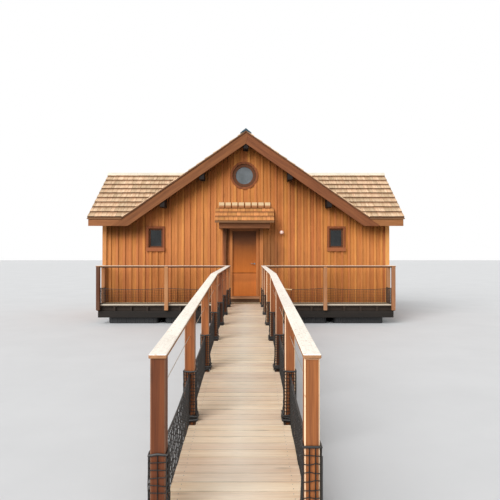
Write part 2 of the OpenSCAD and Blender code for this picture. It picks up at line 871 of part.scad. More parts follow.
// Window frames: casing and sill on the wall's face, sash in the opening
module small_frame(x, y) {
    z = deck_z + window_z;
    top = z + window_h;
    difference() {
        union() {
            block(x - window_w / 2 - casing_w, x + window_w / 2 + casing_w, y - trim_t, y,
                z, top + casing_w);
            block(x - window_w / 2 - casing_w, x + window_w / 2 + casing_w, y - sill_out, y,
                z - sill_h, z);
        }
        block(x - window_w / 2, x + window_w / 2, y - clear - trim_t, y + clear, z, top);
    }
    difference() {
        block(x - window_w / 2, x + window_w / 2, y + sash_set, y + sash_set + sash_t, z, top);
        block(x - window_w / 2 + sash_w, x + window_w / 2 - sash_w, y, y + wall_t,
            z + sash_w, top - sash_w);
    }
}

module disc(d, y0, y1) {
    translate([leaf_x, y0, deck_z + round_z]) rotate([-90, 0, 0]) cylinder(h = y1 - y0, d = d);
}

module round_frame() {
    difference() {
        disc(round_ring_d, -trim_t, 0);
        disc(round_d, -trim_t - clear, clear);
    }
    difference() {
        disc(round_d, sash_set / 2, sash_set / 2 + sash_t);
        disc(round_glass_d, 0, wall_t);
    }
}

// Places a piece on the front wall, and turned round on the rear wall
module front_and_rear() {
    children();
    translate([0, cabin_d, 0]) mirror([0, 1, 0]) children();
}

module window_frames() {
    color([0.80, 0.55, 0.42]) front_and_rear() {
        for (s = [-1, 1]) small_frame(s * window_x, 0);
        round_frame();
    }
}

module window_panes() {
    pane_w = window_w - 2 * sash_w;
    pane_y = sash_set + (sash_t - glass_t) / 2;
    round_y = sash_set / 2 + (sash_t - glass_t) / 2;
    color([0.35, 0.42, 0.48]) front_and_rear() {
        for (s = [-1, 1])
            block(s * window_x - pane_w / 2, s * window_x + pane_w / 2, pane_y, pane_y + glass_t,
                deck_z + window_z + sash_w, deck_z + window_z + window_h - sash_w);
        disc(round_glass_d, round_y, round_y + glass_t);
    }
}

// Frame in the doorway: recessed outer part, jambs that stand forward, and stops
module door_frame() {
    front_y = leaf_front - leaf_gap - stop_d;
    outer_y = leaf_front - frame_d;
    color([0.74, 0.48, 0.28]) {
        translate([0, 0, sill_z]) linear_extrude(doorway_top - sill_z) {
            polygon([
                [doorway_left, outer_y], [leaf_left - jamb_w, outer_y], [leaf_left - jamb_w, front_y],
                [leaf_left + stop_lap, front_y], [leaf_left + stop_lap, leaf_front - leaf_gap],
                [leaf_left - leaf_gap, leaf_front - leaf_gap], [leaf_left - leaf_gap, wall_t],
                [doorway_left, wall_t]
            ]);
            polygon([
                [doorway_right, outer_y], [leaf_right + jamb_w, outer_y],
                [leaf_right + jamb_w, front_y], [leaf_right - stop_lap, front_y],
                [leaf_right - stop_lap, leaf_front - leaf_gap],
                [leaf_right + latch_gap, leaf_front - leaf_gap], [leaf_right + latch_gap, wall_t],
                [doorway_right, wall_t]
            ]);
        }
        along_x(leaf_left + stop_lap + 1, leaf_right - stop_lap - 1) polygon([
            [front_y, doorway_top], [front_y, leaf_top - stop_lap],
            [leaf_front - leaf_gap, leaf_top - stop_lap], [leaf_front - leaf_gap, leaf_top + leaf_gap],
            [wall_t, leaf_top + leaf_gap], [wall_t, doorway_top]
        ]);
        for (x = [doorway_left - corner_w, doorway_right])
            block(x, x + corner_w, -trim_t, 0, deck_z, doorway_top);
    }
}

module threshold() {
    color([0.45, 0.32, 0.24])
        along_x(doorway_left, doorway_right) polygon([
            [nose_out, deck_z], [wall_t, deck_z], [wall_t, sill_z],
            [-nose_out, sill_z - nose_fall], [-nose_out, sill_z - nose_h], [nose_out, sill_z - nose_h]
        ]);
}

module door_leaf() {
    color([0.77, 0.44, 0.18]) difference() {
        block(leaf_left, leaf_right, leaf_front, leaf_back, leaf_z, leaf_top);
        along_x(leaf_left - clear, leaf_right + clear)
            translate([leaf_front, leaf_z + rail_joint_z]) polygon([
                [-1, -groove_w / 2 - 1], [groove_w / 2, 0], [-1, groove_w / 2 + 1]
            ]);
    }
}

// Hinges: the pin and outer barrels stay on the frame, the middle barrel turns with the leaf
hinge_zs = [leaf_z + hinge_in, leaf_z + leaf_h / 2, leaf_top - hinge_in];

module barrel(z0, z1, r) {
    translate([hinge_x, hinge_y, z0]) cylinder(h = z1 - z0, r = r);
}

module frame_hinges() {
    third = hinge_l / 3;
    color([0.45, 0.45, 0.46]) for (z = hinge_zs) {
        barrel(z - hinge_l / 2, z + hinge_l / 2, pin_r);
        for (z0 = [z - hinge_l / 2, z + third / 2]) {
            barrel(z0, z0 + third, barrel_r);
            block(hinge_x - flap_w, hinge_x, leaf_back, leaf_back + flap_t, z0, z0 + third);
        }
    }
}

module leaf_barrels() {
    third = hinge_l / 3;
    for (z = hinge_zs) difference() {
        union() {
            barrel(z - third / 2 + hinge_play, z + third / 2 - hinge_play, barrel_r);
            block(hinge_x, hinge_x + flap_w, leaf_back, leaf_back + flap_t,
                z - third / 2 + hinge_play, z + third / 2 - hinge_play);
        }
        barrel(z - third, z + third, pin_r + hinge_play);
    }
}

module handle(side) {
    face = side < 0 ? leaf_front : leaf_back;
    translate([leaf_right - handle_in, face, leaf_z + handle_z]) rotate([-90 * side, 0, 0]) {
        cylinder(h = rose_t, r = rose_r);
        cylinder(h = lever_out + lever_r, r = lever_r);
        translate([lever_r, 0, lever_out]) rotate([0, -90, 0]) cylinder(h = lever_l, r = lever_r);
    }
}

module door_hardware() {
    color([0.45, 0.45, 0.46]) {
        leaf_barrels();
        handle(-1);
        handle(1);
    }
}

// Canopy over the door: a stepped lean-to and a row of separate shingles above it
canopy_rise = tan(canopy_pitch);
canopy_front_z = deck_z + canopy_z;
canopy_step = canopy_out / canopy_courses;
canopy_v = canopy_t / cos(canopy_pitch);
top_row_foot = top_row_out - butt_t;

module canopy_shingles() {
    top = canopy_front_z + canopy_out * canopy_rise;
    step = top_row_w / top_row;
    color([0.88, 0.66, 0.42]) {
        along_x(canopy_x - canopy_w / 2, canopy_x + canopy_w / 2)
            translate([-canopy_out, canopy_front_z]) polygon(concat(
                course_points(canopy_out, canopy_step, canopy_rise, butt_t / cos(canopy_pitch), 0),
                [[canopy_out, canopy_out * canopy_rise - canopy_v], [0, -canopy_v]]
            ));
        for (k = [0 : top_row - 1])
            let(x = canopy_x - top_row_w / 2 + k * step)
                along_x(x + joint * 2, x + step - joint * 2) translate([0, top + seat]) polygon([
                    [-top_row_foot, -top_row_foot * canopy_rise], [0, 0], [0, top_row_h],
                    [-butt_t, top_row_h], [-top_row_out, 0]
                ]);
    }
}

module canopy_frame() {
    half = canopy_beam_w / 2;
    front_y = -canopy_out + canopy_beam_in;
    under = canopy_front_z - canopy_v - seat;
    low = under - canopy_beam_h + canopy_beam_in * canopy_rise;
    color([0.62, 0.38, 0.25]) intersection() {
        union() {
            block(canopy_x - half, canopy_x + half, front_y, front_y + canopy_beam_t,
                low, canopy_front_z);
            for (x = [canopy_x - half, canopy_x + half - canopy_beam_t])
                block(x, x + canopy_beam_t, front_y + canopy_beam_t, -trim_t, low, apex_z);
            block(canopy_x - half, canopy_x + half, -trim_t, 0, doorway_top, apex_z);
        }
        along_x(canopy_x - half, canopy_x + half) translate([-canopy_out, under]) polygon([
            [0, 0], [canopy_out, canopy_out * canopy_rise], [canopy_out, -canopy_out], [0, -canopy_out]
        ]);
    }
}

module wall_lamp() {
    color([0.93, 0.80, 0.72]) translate([lamp_x, 0, deck_z + lamp_z]) {
        translate([0, -globe_d / 2 - lamp_neck_l, 0]) sphere(d = globe_d);
        rotate([90, 0, 0]) cylinder(h = lamp_neck_l + globe_d / 4, d = globe_d / 2);
        rotate([90, 0, 0]) cylinder(h = lamp_plate_t, d = lamp_plate_d);
    }
}

floats();
cross_beams();
joists();
platform_deck();
platform_posts();
platform_handrails();
platform_nets();
stringers();
gangway_deck();
ramp_deck();
gangway_posts();
gangway_handrails();
gangway_nets();
gangway_wires();
cabin_floor();
front_wall_left();
front_wall_right();
front_gable();
rear_wall();
left_wall();
right_wall();
corner_boards();
main_roof_left();
main_roof_right();
wing_roof_left();
wing_roof_right();
main_shingles_left();
main_shingles_right();
wing_shingles_left();
wing_shingles_right();
main_ridge_cap();
wing_ridge_caps();
bargeboards();
fascias();
purlins();
window_frames();
window_panes();
door_frame();
threshold();
door_leaf();
door_hardware();
frame_hinges();
canopy_shingles();
canopy_frame();
wall_lamp();
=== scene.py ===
import bpy
import math
import random
import numpy as np
from mathutils import Matrix, Vector


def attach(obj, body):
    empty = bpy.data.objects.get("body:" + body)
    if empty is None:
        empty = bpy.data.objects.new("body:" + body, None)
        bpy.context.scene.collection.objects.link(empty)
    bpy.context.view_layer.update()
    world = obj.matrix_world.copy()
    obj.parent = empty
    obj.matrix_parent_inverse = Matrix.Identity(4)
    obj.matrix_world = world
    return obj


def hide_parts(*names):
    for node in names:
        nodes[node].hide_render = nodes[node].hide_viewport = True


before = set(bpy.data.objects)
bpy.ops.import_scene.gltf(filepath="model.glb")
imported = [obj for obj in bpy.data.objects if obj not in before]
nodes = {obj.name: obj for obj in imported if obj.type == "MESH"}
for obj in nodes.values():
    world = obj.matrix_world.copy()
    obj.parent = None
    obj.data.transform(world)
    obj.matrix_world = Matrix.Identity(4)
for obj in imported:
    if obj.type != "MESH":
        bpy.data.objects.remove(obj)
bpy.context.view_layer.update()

shared = {  # lines of the building, as the CAD has them
    "halfWidth": 4.23, "depth": 3.64, "deckTop": 0.57, "halfDeck": 4.25, "deckFront": -0.56, "deckBack": 4.20,
    "rise": math.tan(math.radians(34.9)), "pitch": math.radians(34.9), "eaveZ": 3.09, "gableHalf": 3.57,
    "vergeFront": -0.45, "vergeBack": 4.09, "midY": 1.82, "wingRun": 2.27, "roofHalf": 4.54, "drip": 0.03,
    "roofThick": 0.165 / math.cos(math.radians(34.9)), "kinkY": -6.61, "rampSlope": 0.058, "postLine": 0.495,
    "postYs": [-11.935, -10.16, -8.385, -6.61, -4.835, -3.06, -1.285, -0.61],
}


def deselect():
    if bpy.context.object and bpy.context.object.mode != "OBJECT":
        bpy.ops.object.mode_set(mode="OBJECT")
    bpy.ops.object.select_all(action="DESELECT")


def pick(*objs):
    deselect()
    for obj in objs:
        obj.select_set(True)
    bpy.context.view_layer.objects.active = objs[0]


def choose(obj, test, kind="VERT"):  # selects vertices or faces by their place, and leaves the piece in edit mode
    pick(obj)
    bpy.ops.object.mode_set(mode="EDIT")
    bpy.ops.mesh.select_mode(type=kind)
    bpy.ops.mesh.select_all(action="DESELECT")
    bpy.ops.object.mode_set(mode="OBJECT")
    for part in (obj.data.vertices if kind == "VERT" else obj.data.polygons):
        if test(part):
            part.select = True
    bpy.ops.object.mode_set(mode="EDIT")


def wholeMesh(obj):
    pick(obj)
    bpy.ops.object.mode_set(mode="EDIT")
    bpy.ops.mesh.select_mode(type="VERT")
    bpy.ops.mesh.select_all(action="SELECT")


def objectMode():
    bpy.ops.object.mode_set(mode="OBJECT")


def withModifier(obj, kind, **settings):
    pick(obj)
    modifier = obj.modifiers.new(kind.lower(), kind)
    for key, value in settings.items():
        setattr(modifier, key, value)
    bpy.ops.object.modifier_apply(modifier=modifier.name)
    return obj


def softEdges(obj, width, segments=1, angle=30):
    return withModifier(obj, "BEVEL", width=width, segments=segments, limit_method="ANGLE",
                        angle_limit=math.radians(angle), use_clamp_overlap=True)


def cutAt(obj, point, normal):  # keeps what lies behind the plane, and closes the cut
    wholeMesh(obj)
    bpy.ops.mesh.bisect(plane_co=point, plane_no=normal, use_fill=True, clear_outer=True, threshold=1e-5)
    objectMode()
    return obj


def blockOf(name, low, high, bevel=0.003, segments=1):
    deselect()
    size = [b - a for a, b in zip(low, high)]
    bpy.ops.mesh.primitive_cube_add(size=1, location=[(a + b) / 2 for a, b in zip(low, high)])
    piece = bpy.context.object
    piece.name = name
    wholeMesh(piece)
    bpy.ops.transform.resize(value=size)
    objectMode()
    bpy.ops.object.transform_apply(location=True, rotation=True, scale=True)
    return softEdges(piece, bevel, segments) if bevel else piece


def joined(objs, name):
    pick(*objs)
    bpy.ops.object.transform_apply(location=True, rotation=True, scale=True)
    if len(objs) > 1:
        bpy.ops.object.join()
    piece = bpy.context.object
    piece.name = name
    piece.data.name = name
    return piece


def spread(template, places, name):  # one copy of the template at each place, each with its own mesh
    copies = []
    for place in places:
        twin = template.copy()
        twin.data = template.data.copy()
        bpy.context.collection.objects.link(twin)
        twin.matrix_world = place
        copies.append(twin)
    bpy.data.objects.remove(template)
    return joined(copies, name)


def without(obj, cutter):  # cuts one piece out of another
    pick(obj)
    cut = obj.modifiers.new("cut", "BOOLEAN")
    cut.operation = "DIFFERENCE"
    cut.object = cutter
    cut.solver = "EXACT"
    bpy.ops.object.modifier_apply(modifier="cut")
    return obj


def copyOfNode(node, name):
    deselect()
    source = nodes[node]
    piece = source.copy()
    piece.data = source.data.copy()
    piece.animation_data_clear()
    piece.parent = None
    piece.matrix_world = Matrix.Identity(4)
    for key in list(piece.keys()):
        del piece[key]
    bpy.context.collection.objects.link(piece)
    piece.hide_viewport = piece.hide_render = False
    piece.hide_set(False)
    piece.name = name
    piece.data.name = name
    wholeMesh(piece)
    bpy.ops.mesh.remove_doubles(threshold=2e-5)
    bpy.ops.mesh.dissolve_limited(angle_limit=math.radians(0.6))
    objectMode()
    return piece


def portion(obj, axis, low, high):
    part = obj.copy()
    part.data = obj.data.copy()
    bpy.context.collection.objects.link(part)
    cutAt(part, [low if k == axis else 0 for k in range(3)], [-1 if k == axis else 0 for k in range(3)])
    return cutAt(part, [high if k == axis else 0 for k in range(3)], [1 if k == axis else 0 for k in range(3)])


def parted(obj, axis, seams, gap=0.0015):  # open joints across a long piece
    ends = [-99] + list(seams) + [99]
    parts = [portion(obj, axis, low + gap, high - gap) for low, high in zip(ends, ends[1:])]
    name = obj.name
    bpy.data.objects.remove(obj)
    return joined([part for part in parts if len(part.data.vertices)], name)


def tube(name, points, radius, sides=8, cyclic=False):
    curve = bpy.data.curves.new(name, "CURVE")
    curve.dimensions = "3D"
    curve.bevel_depth = radius
    curve.bevel_resolution = max(0, sides // 4 - 1)
    curve.use_fill_caps = True
    line = curve.splines.new("POLY")
    line.points.add(len(points) - 1)
    for spot, point in zip(line.points, points):
        spot.co = (*point, 1)
    line.use_cyclic_u = cyclic
    piece = bpy.data.objects.new(name, curve)
    bpy.context.collection.objects.link(piece)
    pick(piece)
    bpy.ops.object.convert(target="MESH")
    return bpy.context.object


def islands(count, edges):
    labels = np.arange(count)
    while True:
        low = np.minimum(labels[edges[:, 0]], labels[edges[:, 1]])
        fresh = labels.copy()
        np.minimum.at(fresh, edges[:, 0], low)
        np.minimum.at(fresh, edges[:, 1], low)
        fresh = fresh[fresh]
        if (fresh == labels).all():
            return np.unique(labels, return_inverse=True)[1]
        labels = fresh


def square(rows):
    return rows / np.maximum(np.linalg.norm(rows, axis=1), 1e-9)[:, None]


def keep(mesh, name, kind, domain, values):
    layer = mesh.attributes.get(name) or mesh.attributes.new(name, kind, domain)
    layer.data.foreach_set("vector" if kind == "FLOAT_VECTOR" else "value", np.asarray(values, dtype=np.float32).ravel())


def markTimber(obj, seed):
    # each board gets its own grain coordinates along its length, its own tone, and a mask of its arrises
    mesh = obj.data
    points = np.empty(len(mesh.vertices) * 3)
    mesh.vertices.foreach_get("co", points)
    points = points.reshape(-1, 3)
    edges = np.empty(len(mesh.edges) * 2, dtype=np.int64)
    mesh.edges.foreach_get("vertices", edges)
    edges = edges.reshape(-1, 2)
    label = islands(len(points), edges)
    total = label.max() + 1
    span = points[edges[:, 1]] - points[edges[:, 0]]
    owner = label[edges[:, 0]]
    along = np.zeros((total, 3))
    order = np.argsort(np.linalg.norm(span, axis=1))
    along[owner[order]] = span[order]
    along = square(along)
    side = span - (span * along[owner]).sum(1)[:, None] * along[owner]
    across = np.zeros((total, 3))
    order = np.argsort(np.linalg.norm(side, axis=1))
    across[owner[order]] = side[order]
    across = square(across)
    through = np.cross(along, across)
    middle = np.stack([np.bincount(label, points[:, k], total) for k in range(3)], 1) / np.bincount(label, None, total)[:, None]
    local = points - middle[label]
    rng = np.random.default_rng(seed)
    grain = np.stack([(local * axis[label]).sum(1) for axis in (along, across, through)], 1)
    keep(mesh, "grain", "FLOAT_VECTOR", "POINT", grain + rng.uniform(0, 30, (total, 3))[label])
    keep(mesh, "tone", "FLOAT", "POINT", rng.uniform(0, 1, total)[label])
    normals = np.empty(len(mesh.polygons) * 3)
    mesh.polygons.foreach_get("normal", normals)
    normals = normals.reshape(-1, 3)
    starts = np.empty(len(mesh.polygons), dtype=np.int64)
    mesh.polygons.foreach_get("loop_start", starts)
    corners = np.empty(len(mesh.loops), dtype=np.int64)
    mesh.loops.foreach_get("vertex_index", corners)
    face = label[corners[starts]]
    facing = np.max([np.abs((normals * axis[face]).sum(1)) for axis in (along, across, through)], 0)
    keep(mesh, "arris", "FLOAT", "FACE", np.where(facing < 0.96, 1.0, 0.0))
    keep(mesh, "upper", "FLOAT", "FACE", np.clip((normals[:, 2] - 0.35) * 3, 0, 1))
    return obj


def retone(obj, low, high, tone):  # one board within a box is darker or lighter than chance made it
    for vert, layer in zip(obj.data.vertices, obj.data.attributes["tone"].data):
        if all(a <= v <= b for a, v, b in zip(low, vert.co, high)):
            layer.value = tone


def finishPiece(obj, material, slot, *stands, body="boathouse"):
    obj.data.materials.clear()
    obj.data.materials.append(material)
    pick(obj)
    bpy.ops.mesh.customdata_custom_splitnormals_clear()
    bpy.ops.object.shade_smooth_by_angle(angle=math.radians(30))
    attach(obj, body)
    if stands:
        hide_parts(*stands)
    return obj


def linear(red, green, blue):  # a colour read as 0 to 255 becomes the shader's own scale
    return [((v / 255) / 12.92 if v <= 10.3 else ((v / 255 + 0.055) / 1.055) ** 2.4) for v in (red, green, blue)] + [1.0]


# finishes are shader nodes: grain, weather and drawn joints are groups that several of them share
def newGroup(name, inputs, outputs):
    group = bpy.data.node_groups.new(name, "ShaderNodeTree")
    for label, kind, value in inputs:
        socket = group.interface.new_socket(name=label, in_out="INPUT", socket_type=kind)
        if value is not None:
            socket.default_value = value
    for label, kind in outputs:
        group.interface.new_socket(name=label, in_out="OUTPUT", socket_type=kind)
    return group, group.nodes.new("NodeGroupInput"), group.nodes.new("NodeGroupOutput")


def node(tree, kind, inputs=(), **settings):
    made = tree.nodes.new(kind)
    for key, value in settings.items():
        setattr(made, key, value)
    for key, value in dict(inputs).items():
        socket = made.inputs[key]
        if isinstance(value, bpy.types.NodeSocket):
            tree.links.new(value, socket)
        else:
            socket.default_value = value
    return made


def maths(tree, operation, first, second=0.0, third=0.0, clamp=False):
    return node(tree, "ShaderNodeMath", {0: first, 1: second, 2: third}, operation=operation, use_clamp=clamp).outputs[0]


def ramp(tree, value, low, high, start=0.0, end=1.0):
    return node(tree, "ShaderNodeMapRange", {"Value": value, "From Min": low, "From Max": high, "To Min": start,
                                            "To Max": end}).outputs["Result"]


def blendColours(tree, factor, first, second, blend="MIX"):
    mix = tree.nodes.new("ShaderNodeMix")
    mix.data_type = "RGBA"
    mix.blend_type = blend
    for place, value in ((0, factor), (6, first), (7, second)):
        if isinstance(value, bpy.types.NodeSocket):
            tree.links.new(value, mix.inputs[place])
        else:
            mix.inputs[place].default_value = value
    return mix.outputs[2]


def noise(tree, vector, scale, detail=3.0, roughness=0.55, distortion=0.0):
    return node(tree, "ShaderNodeTexNoise", {"Vector": vector, "Scale": scale, "Detail": detail, "Roughness": roughness,
                                            "Distortion": distortion}).outputs["Fac"]


def stretched(tree, vector, scale):
    return node(tree, "ShaderNodeMapping", {"Vector": vector, "Scale": scale}).outputs["Vector"]


def makeGrainGroup():
    group, enter, leave = newGroup("sawnGrain", [("Vector", "NodeSocketVector", None), ("Knots", "NodeSocketFloat", 0.5)],
                                   [("Streak", "NodeSocketFloat"), ("Fibre", "NodeSocketFloat"), ("Knot", "NodeSocketFloat"),
                                    ("Height", "NodeSocketFloat")])
    vector = enter.outputs["Vector"]
    broad = noise(group, stretched(group, vector, (0.9, 14, 14)), 1.0, 4, 0.6, 0.6)
    rings = noise(group, stretched(group, vector, (1.6, 55, 55)), 1.0, 3, 0.6, 0.4)
    fibre = noise(group, stretched(group, vector, (7, 260, 260)), 1.0, 2, 0.5)
    streak = maths(group, "MULTIPLY_ADD", rings, 0.45, maths(group, "MULTIPLY", broad, 0.55))
    cells = node(group, "ShaderNodeTexVoronoi", {"Vector": stretched(group, vector, (1.5, 5, 5)), "Scale": 1.0,
                                                 "Randomness": 1.0}).outputs["Distance"]
    knot = maths(group, "MULTIPLY", ramp(group, cells, 0.16, 0.05), enter.outputs["Knots"], clamp=True)
    height = maths(group, "ADD", maths(group, "MULTIPLY", streak, 0.6), maths(group, "MULTIPLY", fibre, 0.4))
    for label, socket in (("Streak", ramp(group, streak, 0.34, 0.66)), ("Fibre", fibre), ("Knot", knot), ("Height", height)):
        group.links.new(socket, leave.inputs[label])
    return group


def makeWeatherGroup():
    group, enter, leave = newGroup("weatherPatches", [("Vector", "NodeSocketVector", None), ("Size", "NodeSocketFloat", 1.0)],
                                   [("Patch", "NodeSocketFloat"), ("Speck", "NodeSocketFloat")])
    scaled = node(group, "ShaderNodeVectorMath", {0: enter.outputs["Vector"], "Scale": enter.outputs["Size"]},
                  operation="SCALE").outputs[0]
    group.links.new(ramp(group, noise(group, scaled, 1.1, 4, 0.6), 0.35, 0.65), leave.inputs["Patch"])
    group.links.new(ramp(group, noise(group, scaled, 38, 3, 0.7), 0.55, 0.75), leave.inputs["Speck"])
    return group


def makeBoardGroup():
    # boards drawn on a broad face: a groove at each joint and a tone for each board
    group, enter, leave = newGroup("boardJoints", [("Across", "NodeSocketFloat", 0.0), ("Width", "NodeSocketFloat", 0.12)],
                                   [("Joint", "NodeSocketFloat"), ("Tone", "NodeSocketFloat")])
    number = maths(group, "DIVIDE", enter.outputs["Across"], enter.outputs["Width"])
    part = maths(group, "FRACT", number)
    edge = maths(group, "MINIMUM", part, maths(group, "SUBTRACT", 1.0, part))
    tone = node(group, "ShaderNodeTexWhiteNoise", {"W": maths(group, "FLOOR", number)}, noise_dimensions="1D").outputs["Value"]
    group.links.new(ramp(group, edge, 0.0, 0.035, 1.0, 0.0), leave.inputs["Joint"])
    group.links.new(tone, leave.inputs["Tone"])
    return group


grainGroup, weatherGroup, boardGroup = makeGrainGroup(), makeWeatherGroup(), makeBoardGroup()


def useGroup(tree, group, **inputs):
    made = tree.nodes.new("ShaderNodeGroup")
    made.node_tree = group
    for key, value in inputs.items():
        if isinstance(value, bpy.types.NodeSocket):
            tree.links.new(value, made.inputs[key])
        else:
            made.inputs[key].default_value = value
    return made.outputs


def newMaterial(name, roughness=0.6):
    material = bpy.data.materials.new(name)
    material.use_nodes = True
    tree = material.node_tree
    shader = tree.nodes["Principled BSDF"]
    shader.inputs["Roughness"].default_value = roughness
    return material, tree, shader


def timber(name, pale, dark, tone=0.3, knots=0.4, grey=None, greyShare=0.0, roughness=0.72, bump=0.0015, arrisWearAndSheen=0.25,
           boards=None, low=None, top=None, path=None, ribs=0.0, paintedRecessShade=None, foot=None, rim=None, paintedShade=()):
    # pale and dark are the two colours of the grain; boards draws joints on a broad CAD face
    material, tree, shader = newMaterial(name, roughness)
    shader.inputs["Specular IOR Level"].default_value = 0.25  # dry, unvarnished
    place = node(tree, "ShaderNodeTexCoord").outputs["Object"]
    if boards:
        axes = node(tree, "ShaderNodeSeparateXYZ", {0: place})
        across = maths(tree, "ADD", axes.outputs[boards["axis"]], boards.get("shift", 0.0))
        if "plus" in boards:
            across = maths(tree, "ADD", across, axes.outputs[boards["plus"]])
        drawn = useGroup(tree, boardGroup, Across=across, Width=boards["width"])
        jump = node(tree, "ShaderNodeVectorMath", {0: place, 1: node(tree, "ShaderNodeCombineXYZ", {
            0: maths(tree, "MULTIPLY", drawn["Tone"], 37.0), 1: maths(tree, "MULTIPLY", drawn["Tone"], 11.0)}).outputs[0]},
            operation="ADD").outputs[0]
        turned = node(tree, "ShaderNodeMapping", {"Vector": jump, "Rotation": boards["turn"]}).outputs["Vector"]
        grain = useGroup(tree, grainGroup, Vector=turned, Knots=knots)
        own, arris = drawn["Tone"], None
    else:
        grain = useGroup(tree, grainGroup, Vector=node(tree, "ShaderNodeAttribute", attribute_name="grain").outputs["Vector"],
                         Knots=knots)
        own = node(tree, "ShaderNodeAttribute", attribute_name="tone").outputs["Fac"]
        arris = node(tree, "ShaderNodeAttribute", attribute_name="arris").outputs["Fac"]
    weather = useGroup(tree, weatherGroup, Vector=place, Size=1.0)
    colour = blendColours(tree, grain["Streak"], dark, pale)
    colour = blendColours(tree, maths(tree, "MULTIPLY", grain["Knot"], 0.75), colour, [c * 0.45 for c in dark[:3]] + [1])
    if grey:
        colour = blendColours(tree, maths(tree, "MULTIPLY", weather["Patch"], greyShare), colour, grey)
    if rim:  # arrises painted pale: partly rubbed wood, partly a painted highlight that is stronger on the posts to the right, whose edges face the light
        sunny = ramp(tree, node(tree, "ShaderNodeSeparateXYZ", {0: place}).outputs["X"], -0.2, 0.2, 0.25, 0.9)
        rubbedAndLitArris = maths(tree, "MULTIPLY", arris, maths(tree, "MULTIPLY", sunny, ramp(tree, weather["Speck"], 0, 1, 1.0, 0.4)))
        colour = blendColours(tree, rubbedAndLitArris, colour, rim)
    if top:  # faces that look up are paler: partly bleached, partly a painted highlight where the light falls on them
        upper = node(tree, "ShaderNodeAttribute", attribute_name="upper").outputs["Fac"]
        bleachedAndLitTop = blendColours(tree, maths(tree, "MULTIPLY", weather["Speck"], 0.7), top, pale)
        colour = blendColours(tree, maths(tree, "MULTIPLY", upper, ramp(tree, grain["Streak"], 0, 1, 0.86, 1.0)), colour, bleachedAndLitTop)
    if paintedRecessShade or foot:  # painted shade on the sashes set back in the wall, and the sill's own colour under a window
        axes = node(tree, "ShaderNodeSeparateXYZ", {0: place})
        inward = maths(tree, "ABSOLUTE", maths(tree, "SUBTRACT", axes.outputs["Y"], shared["midY"]))
        colour = blendColours(tree, ramp(tree, inward, shared["midY"] - 0.016, shared["midY"] - 0.02), colour, paintedRecessShade)
        lower = maths(tree, "MULTIPLY", ramp(tree, axes.outputs["Z"], foot[0] + 0.001, foot[0] - 0.001),
                      ramp(tree, inward, shared["midY"], shared["midY"] + 0.002))
        colour = blendColours(tree, lower, colour, foot[1])
    if path:  # the trodden middle of the walkway
        width = maths(tree, "ABSOLUTE", node(tree, "ShaderNodeSeparateXYZ", {0: place}).outputs["X"])
        trodden = ramp(tree, maths(tree, "MULTIPLY_ADD", weather["Patch"], 0.16, width), path[0], path[1], 1.0, 0.0)
        colour = blendColours(tree, maths(tree, "MULTIPLY", trodden, path[3]), colour, path[2])
    value = maths(tree, "MULTIPLY_ADD", own, tone, 1 - tone / 2)
    value = maths(tree, "MULTIPLY", value, ramp(tree, grain["Fibre"], 0.3, 0.7, 0.92, 1.08))
    value = maths(tree, "MULTIPLY", value, ramp(tree, weather["Patch"], 0, 1, 0.94, 1.06))
    if boards:
        value = maths(tree, "MULTIPLY", value, ramp(tree, drawn["Joint"], 0, 1, 1.0, 0.35))
    # arrises lighter by a share: partly worn wood, partly a painted highlight; the deck's negative share darkens its
    # seams as dirt
    if arris:
        value = maths(tree, "MULTIPLY", value, maths(tree, "MULTIPLY_ADD", arris, arrisWearAndSheen, 1.0))
    if low:  # darker towards the foot or the head: painted shade of the net on the cladding's foot, under the door's sill, and under the canopy at the door's and its frame's head; the beams are simply darker towards the bottom
        heightZ = node(tree, "ShaderNodeSeparateXYZ", {0: place}).outputs["Z"]
        value = maths(tree, "MULTIPLY", value, ramp(tree, heightZ, low[0], low[1], low[2], 1.0))
    for centre, reach, dim in paintedShade:  # painted shade: darker patches where shadow falls, under the eaves and the canopy, beside the door, in the door's groove and in the doorway's left reveal
        away = node(tree, "ShaderNodeVectorMath", {0: place, 1: centre}, operation="SUBTRACT").outputs[0]
        scaled = node(tree, "ShaderNodeVectorMath", {0: away, 1: [1 / r for r in reach]}, operation="MULTIPLY").outputs[0]
        reachOut = node(tree, "ShaderNodeVectorMath", {0: scaled}, operation="LENGTH").outputs["Value"]
        ragged = maths(tree, "MULTIPLY_ADD", weather["Patch"], 0.25, reachOut)
        value = maths(tree, "MULTIPLY", value, ramp(tree, ragged, 0.55, 1.1, dim, 1.0))
    tint = node(tree, "ShaderNodeHueSaturation", {"Hue": maths(tree, "MULTIPLY_ADD", own, 0.012, 0.494), "Value": value,
                                                  "Color": colour}).outputs["Color"]
    tree.links.new(tint, shader.inputs["Base Color"])
    tree.links.new(ramp(tree, grain["Fibre"], 0, 1, roughness + 0.1, roughness - 0.12), shader.inputs["Roughness"])
    height = grain["Height"]
    if ribs:  # fine grooves along a decking board
        across = node(tree, "ShaderNodeSeparateXYZ", {0: node(tree, "ShaderNodeAttribute", attribute_name="grain").outputs["Vector"]})
        wave = maths(tree, "SINE", maths(tree, "MULTIPLY", across.outputs["Y"], 2 * math.pi / ribs))
        height = maths(tree, "MULTIPLY_ADD", wave, 0.6, height)
    if boards:
        height = maths(tree, "SUBTRACT", height, maths(tree, "MULTIPLY", drawn["Joint"], 3.0))
    relief = node(tree, "ShaderNodeBump", {"Height": height, "Distance": bump, "Strength": 1.0})
    tree.links.new(relief.outputs["Normal"], shader.inputs["Normal"])
    return material


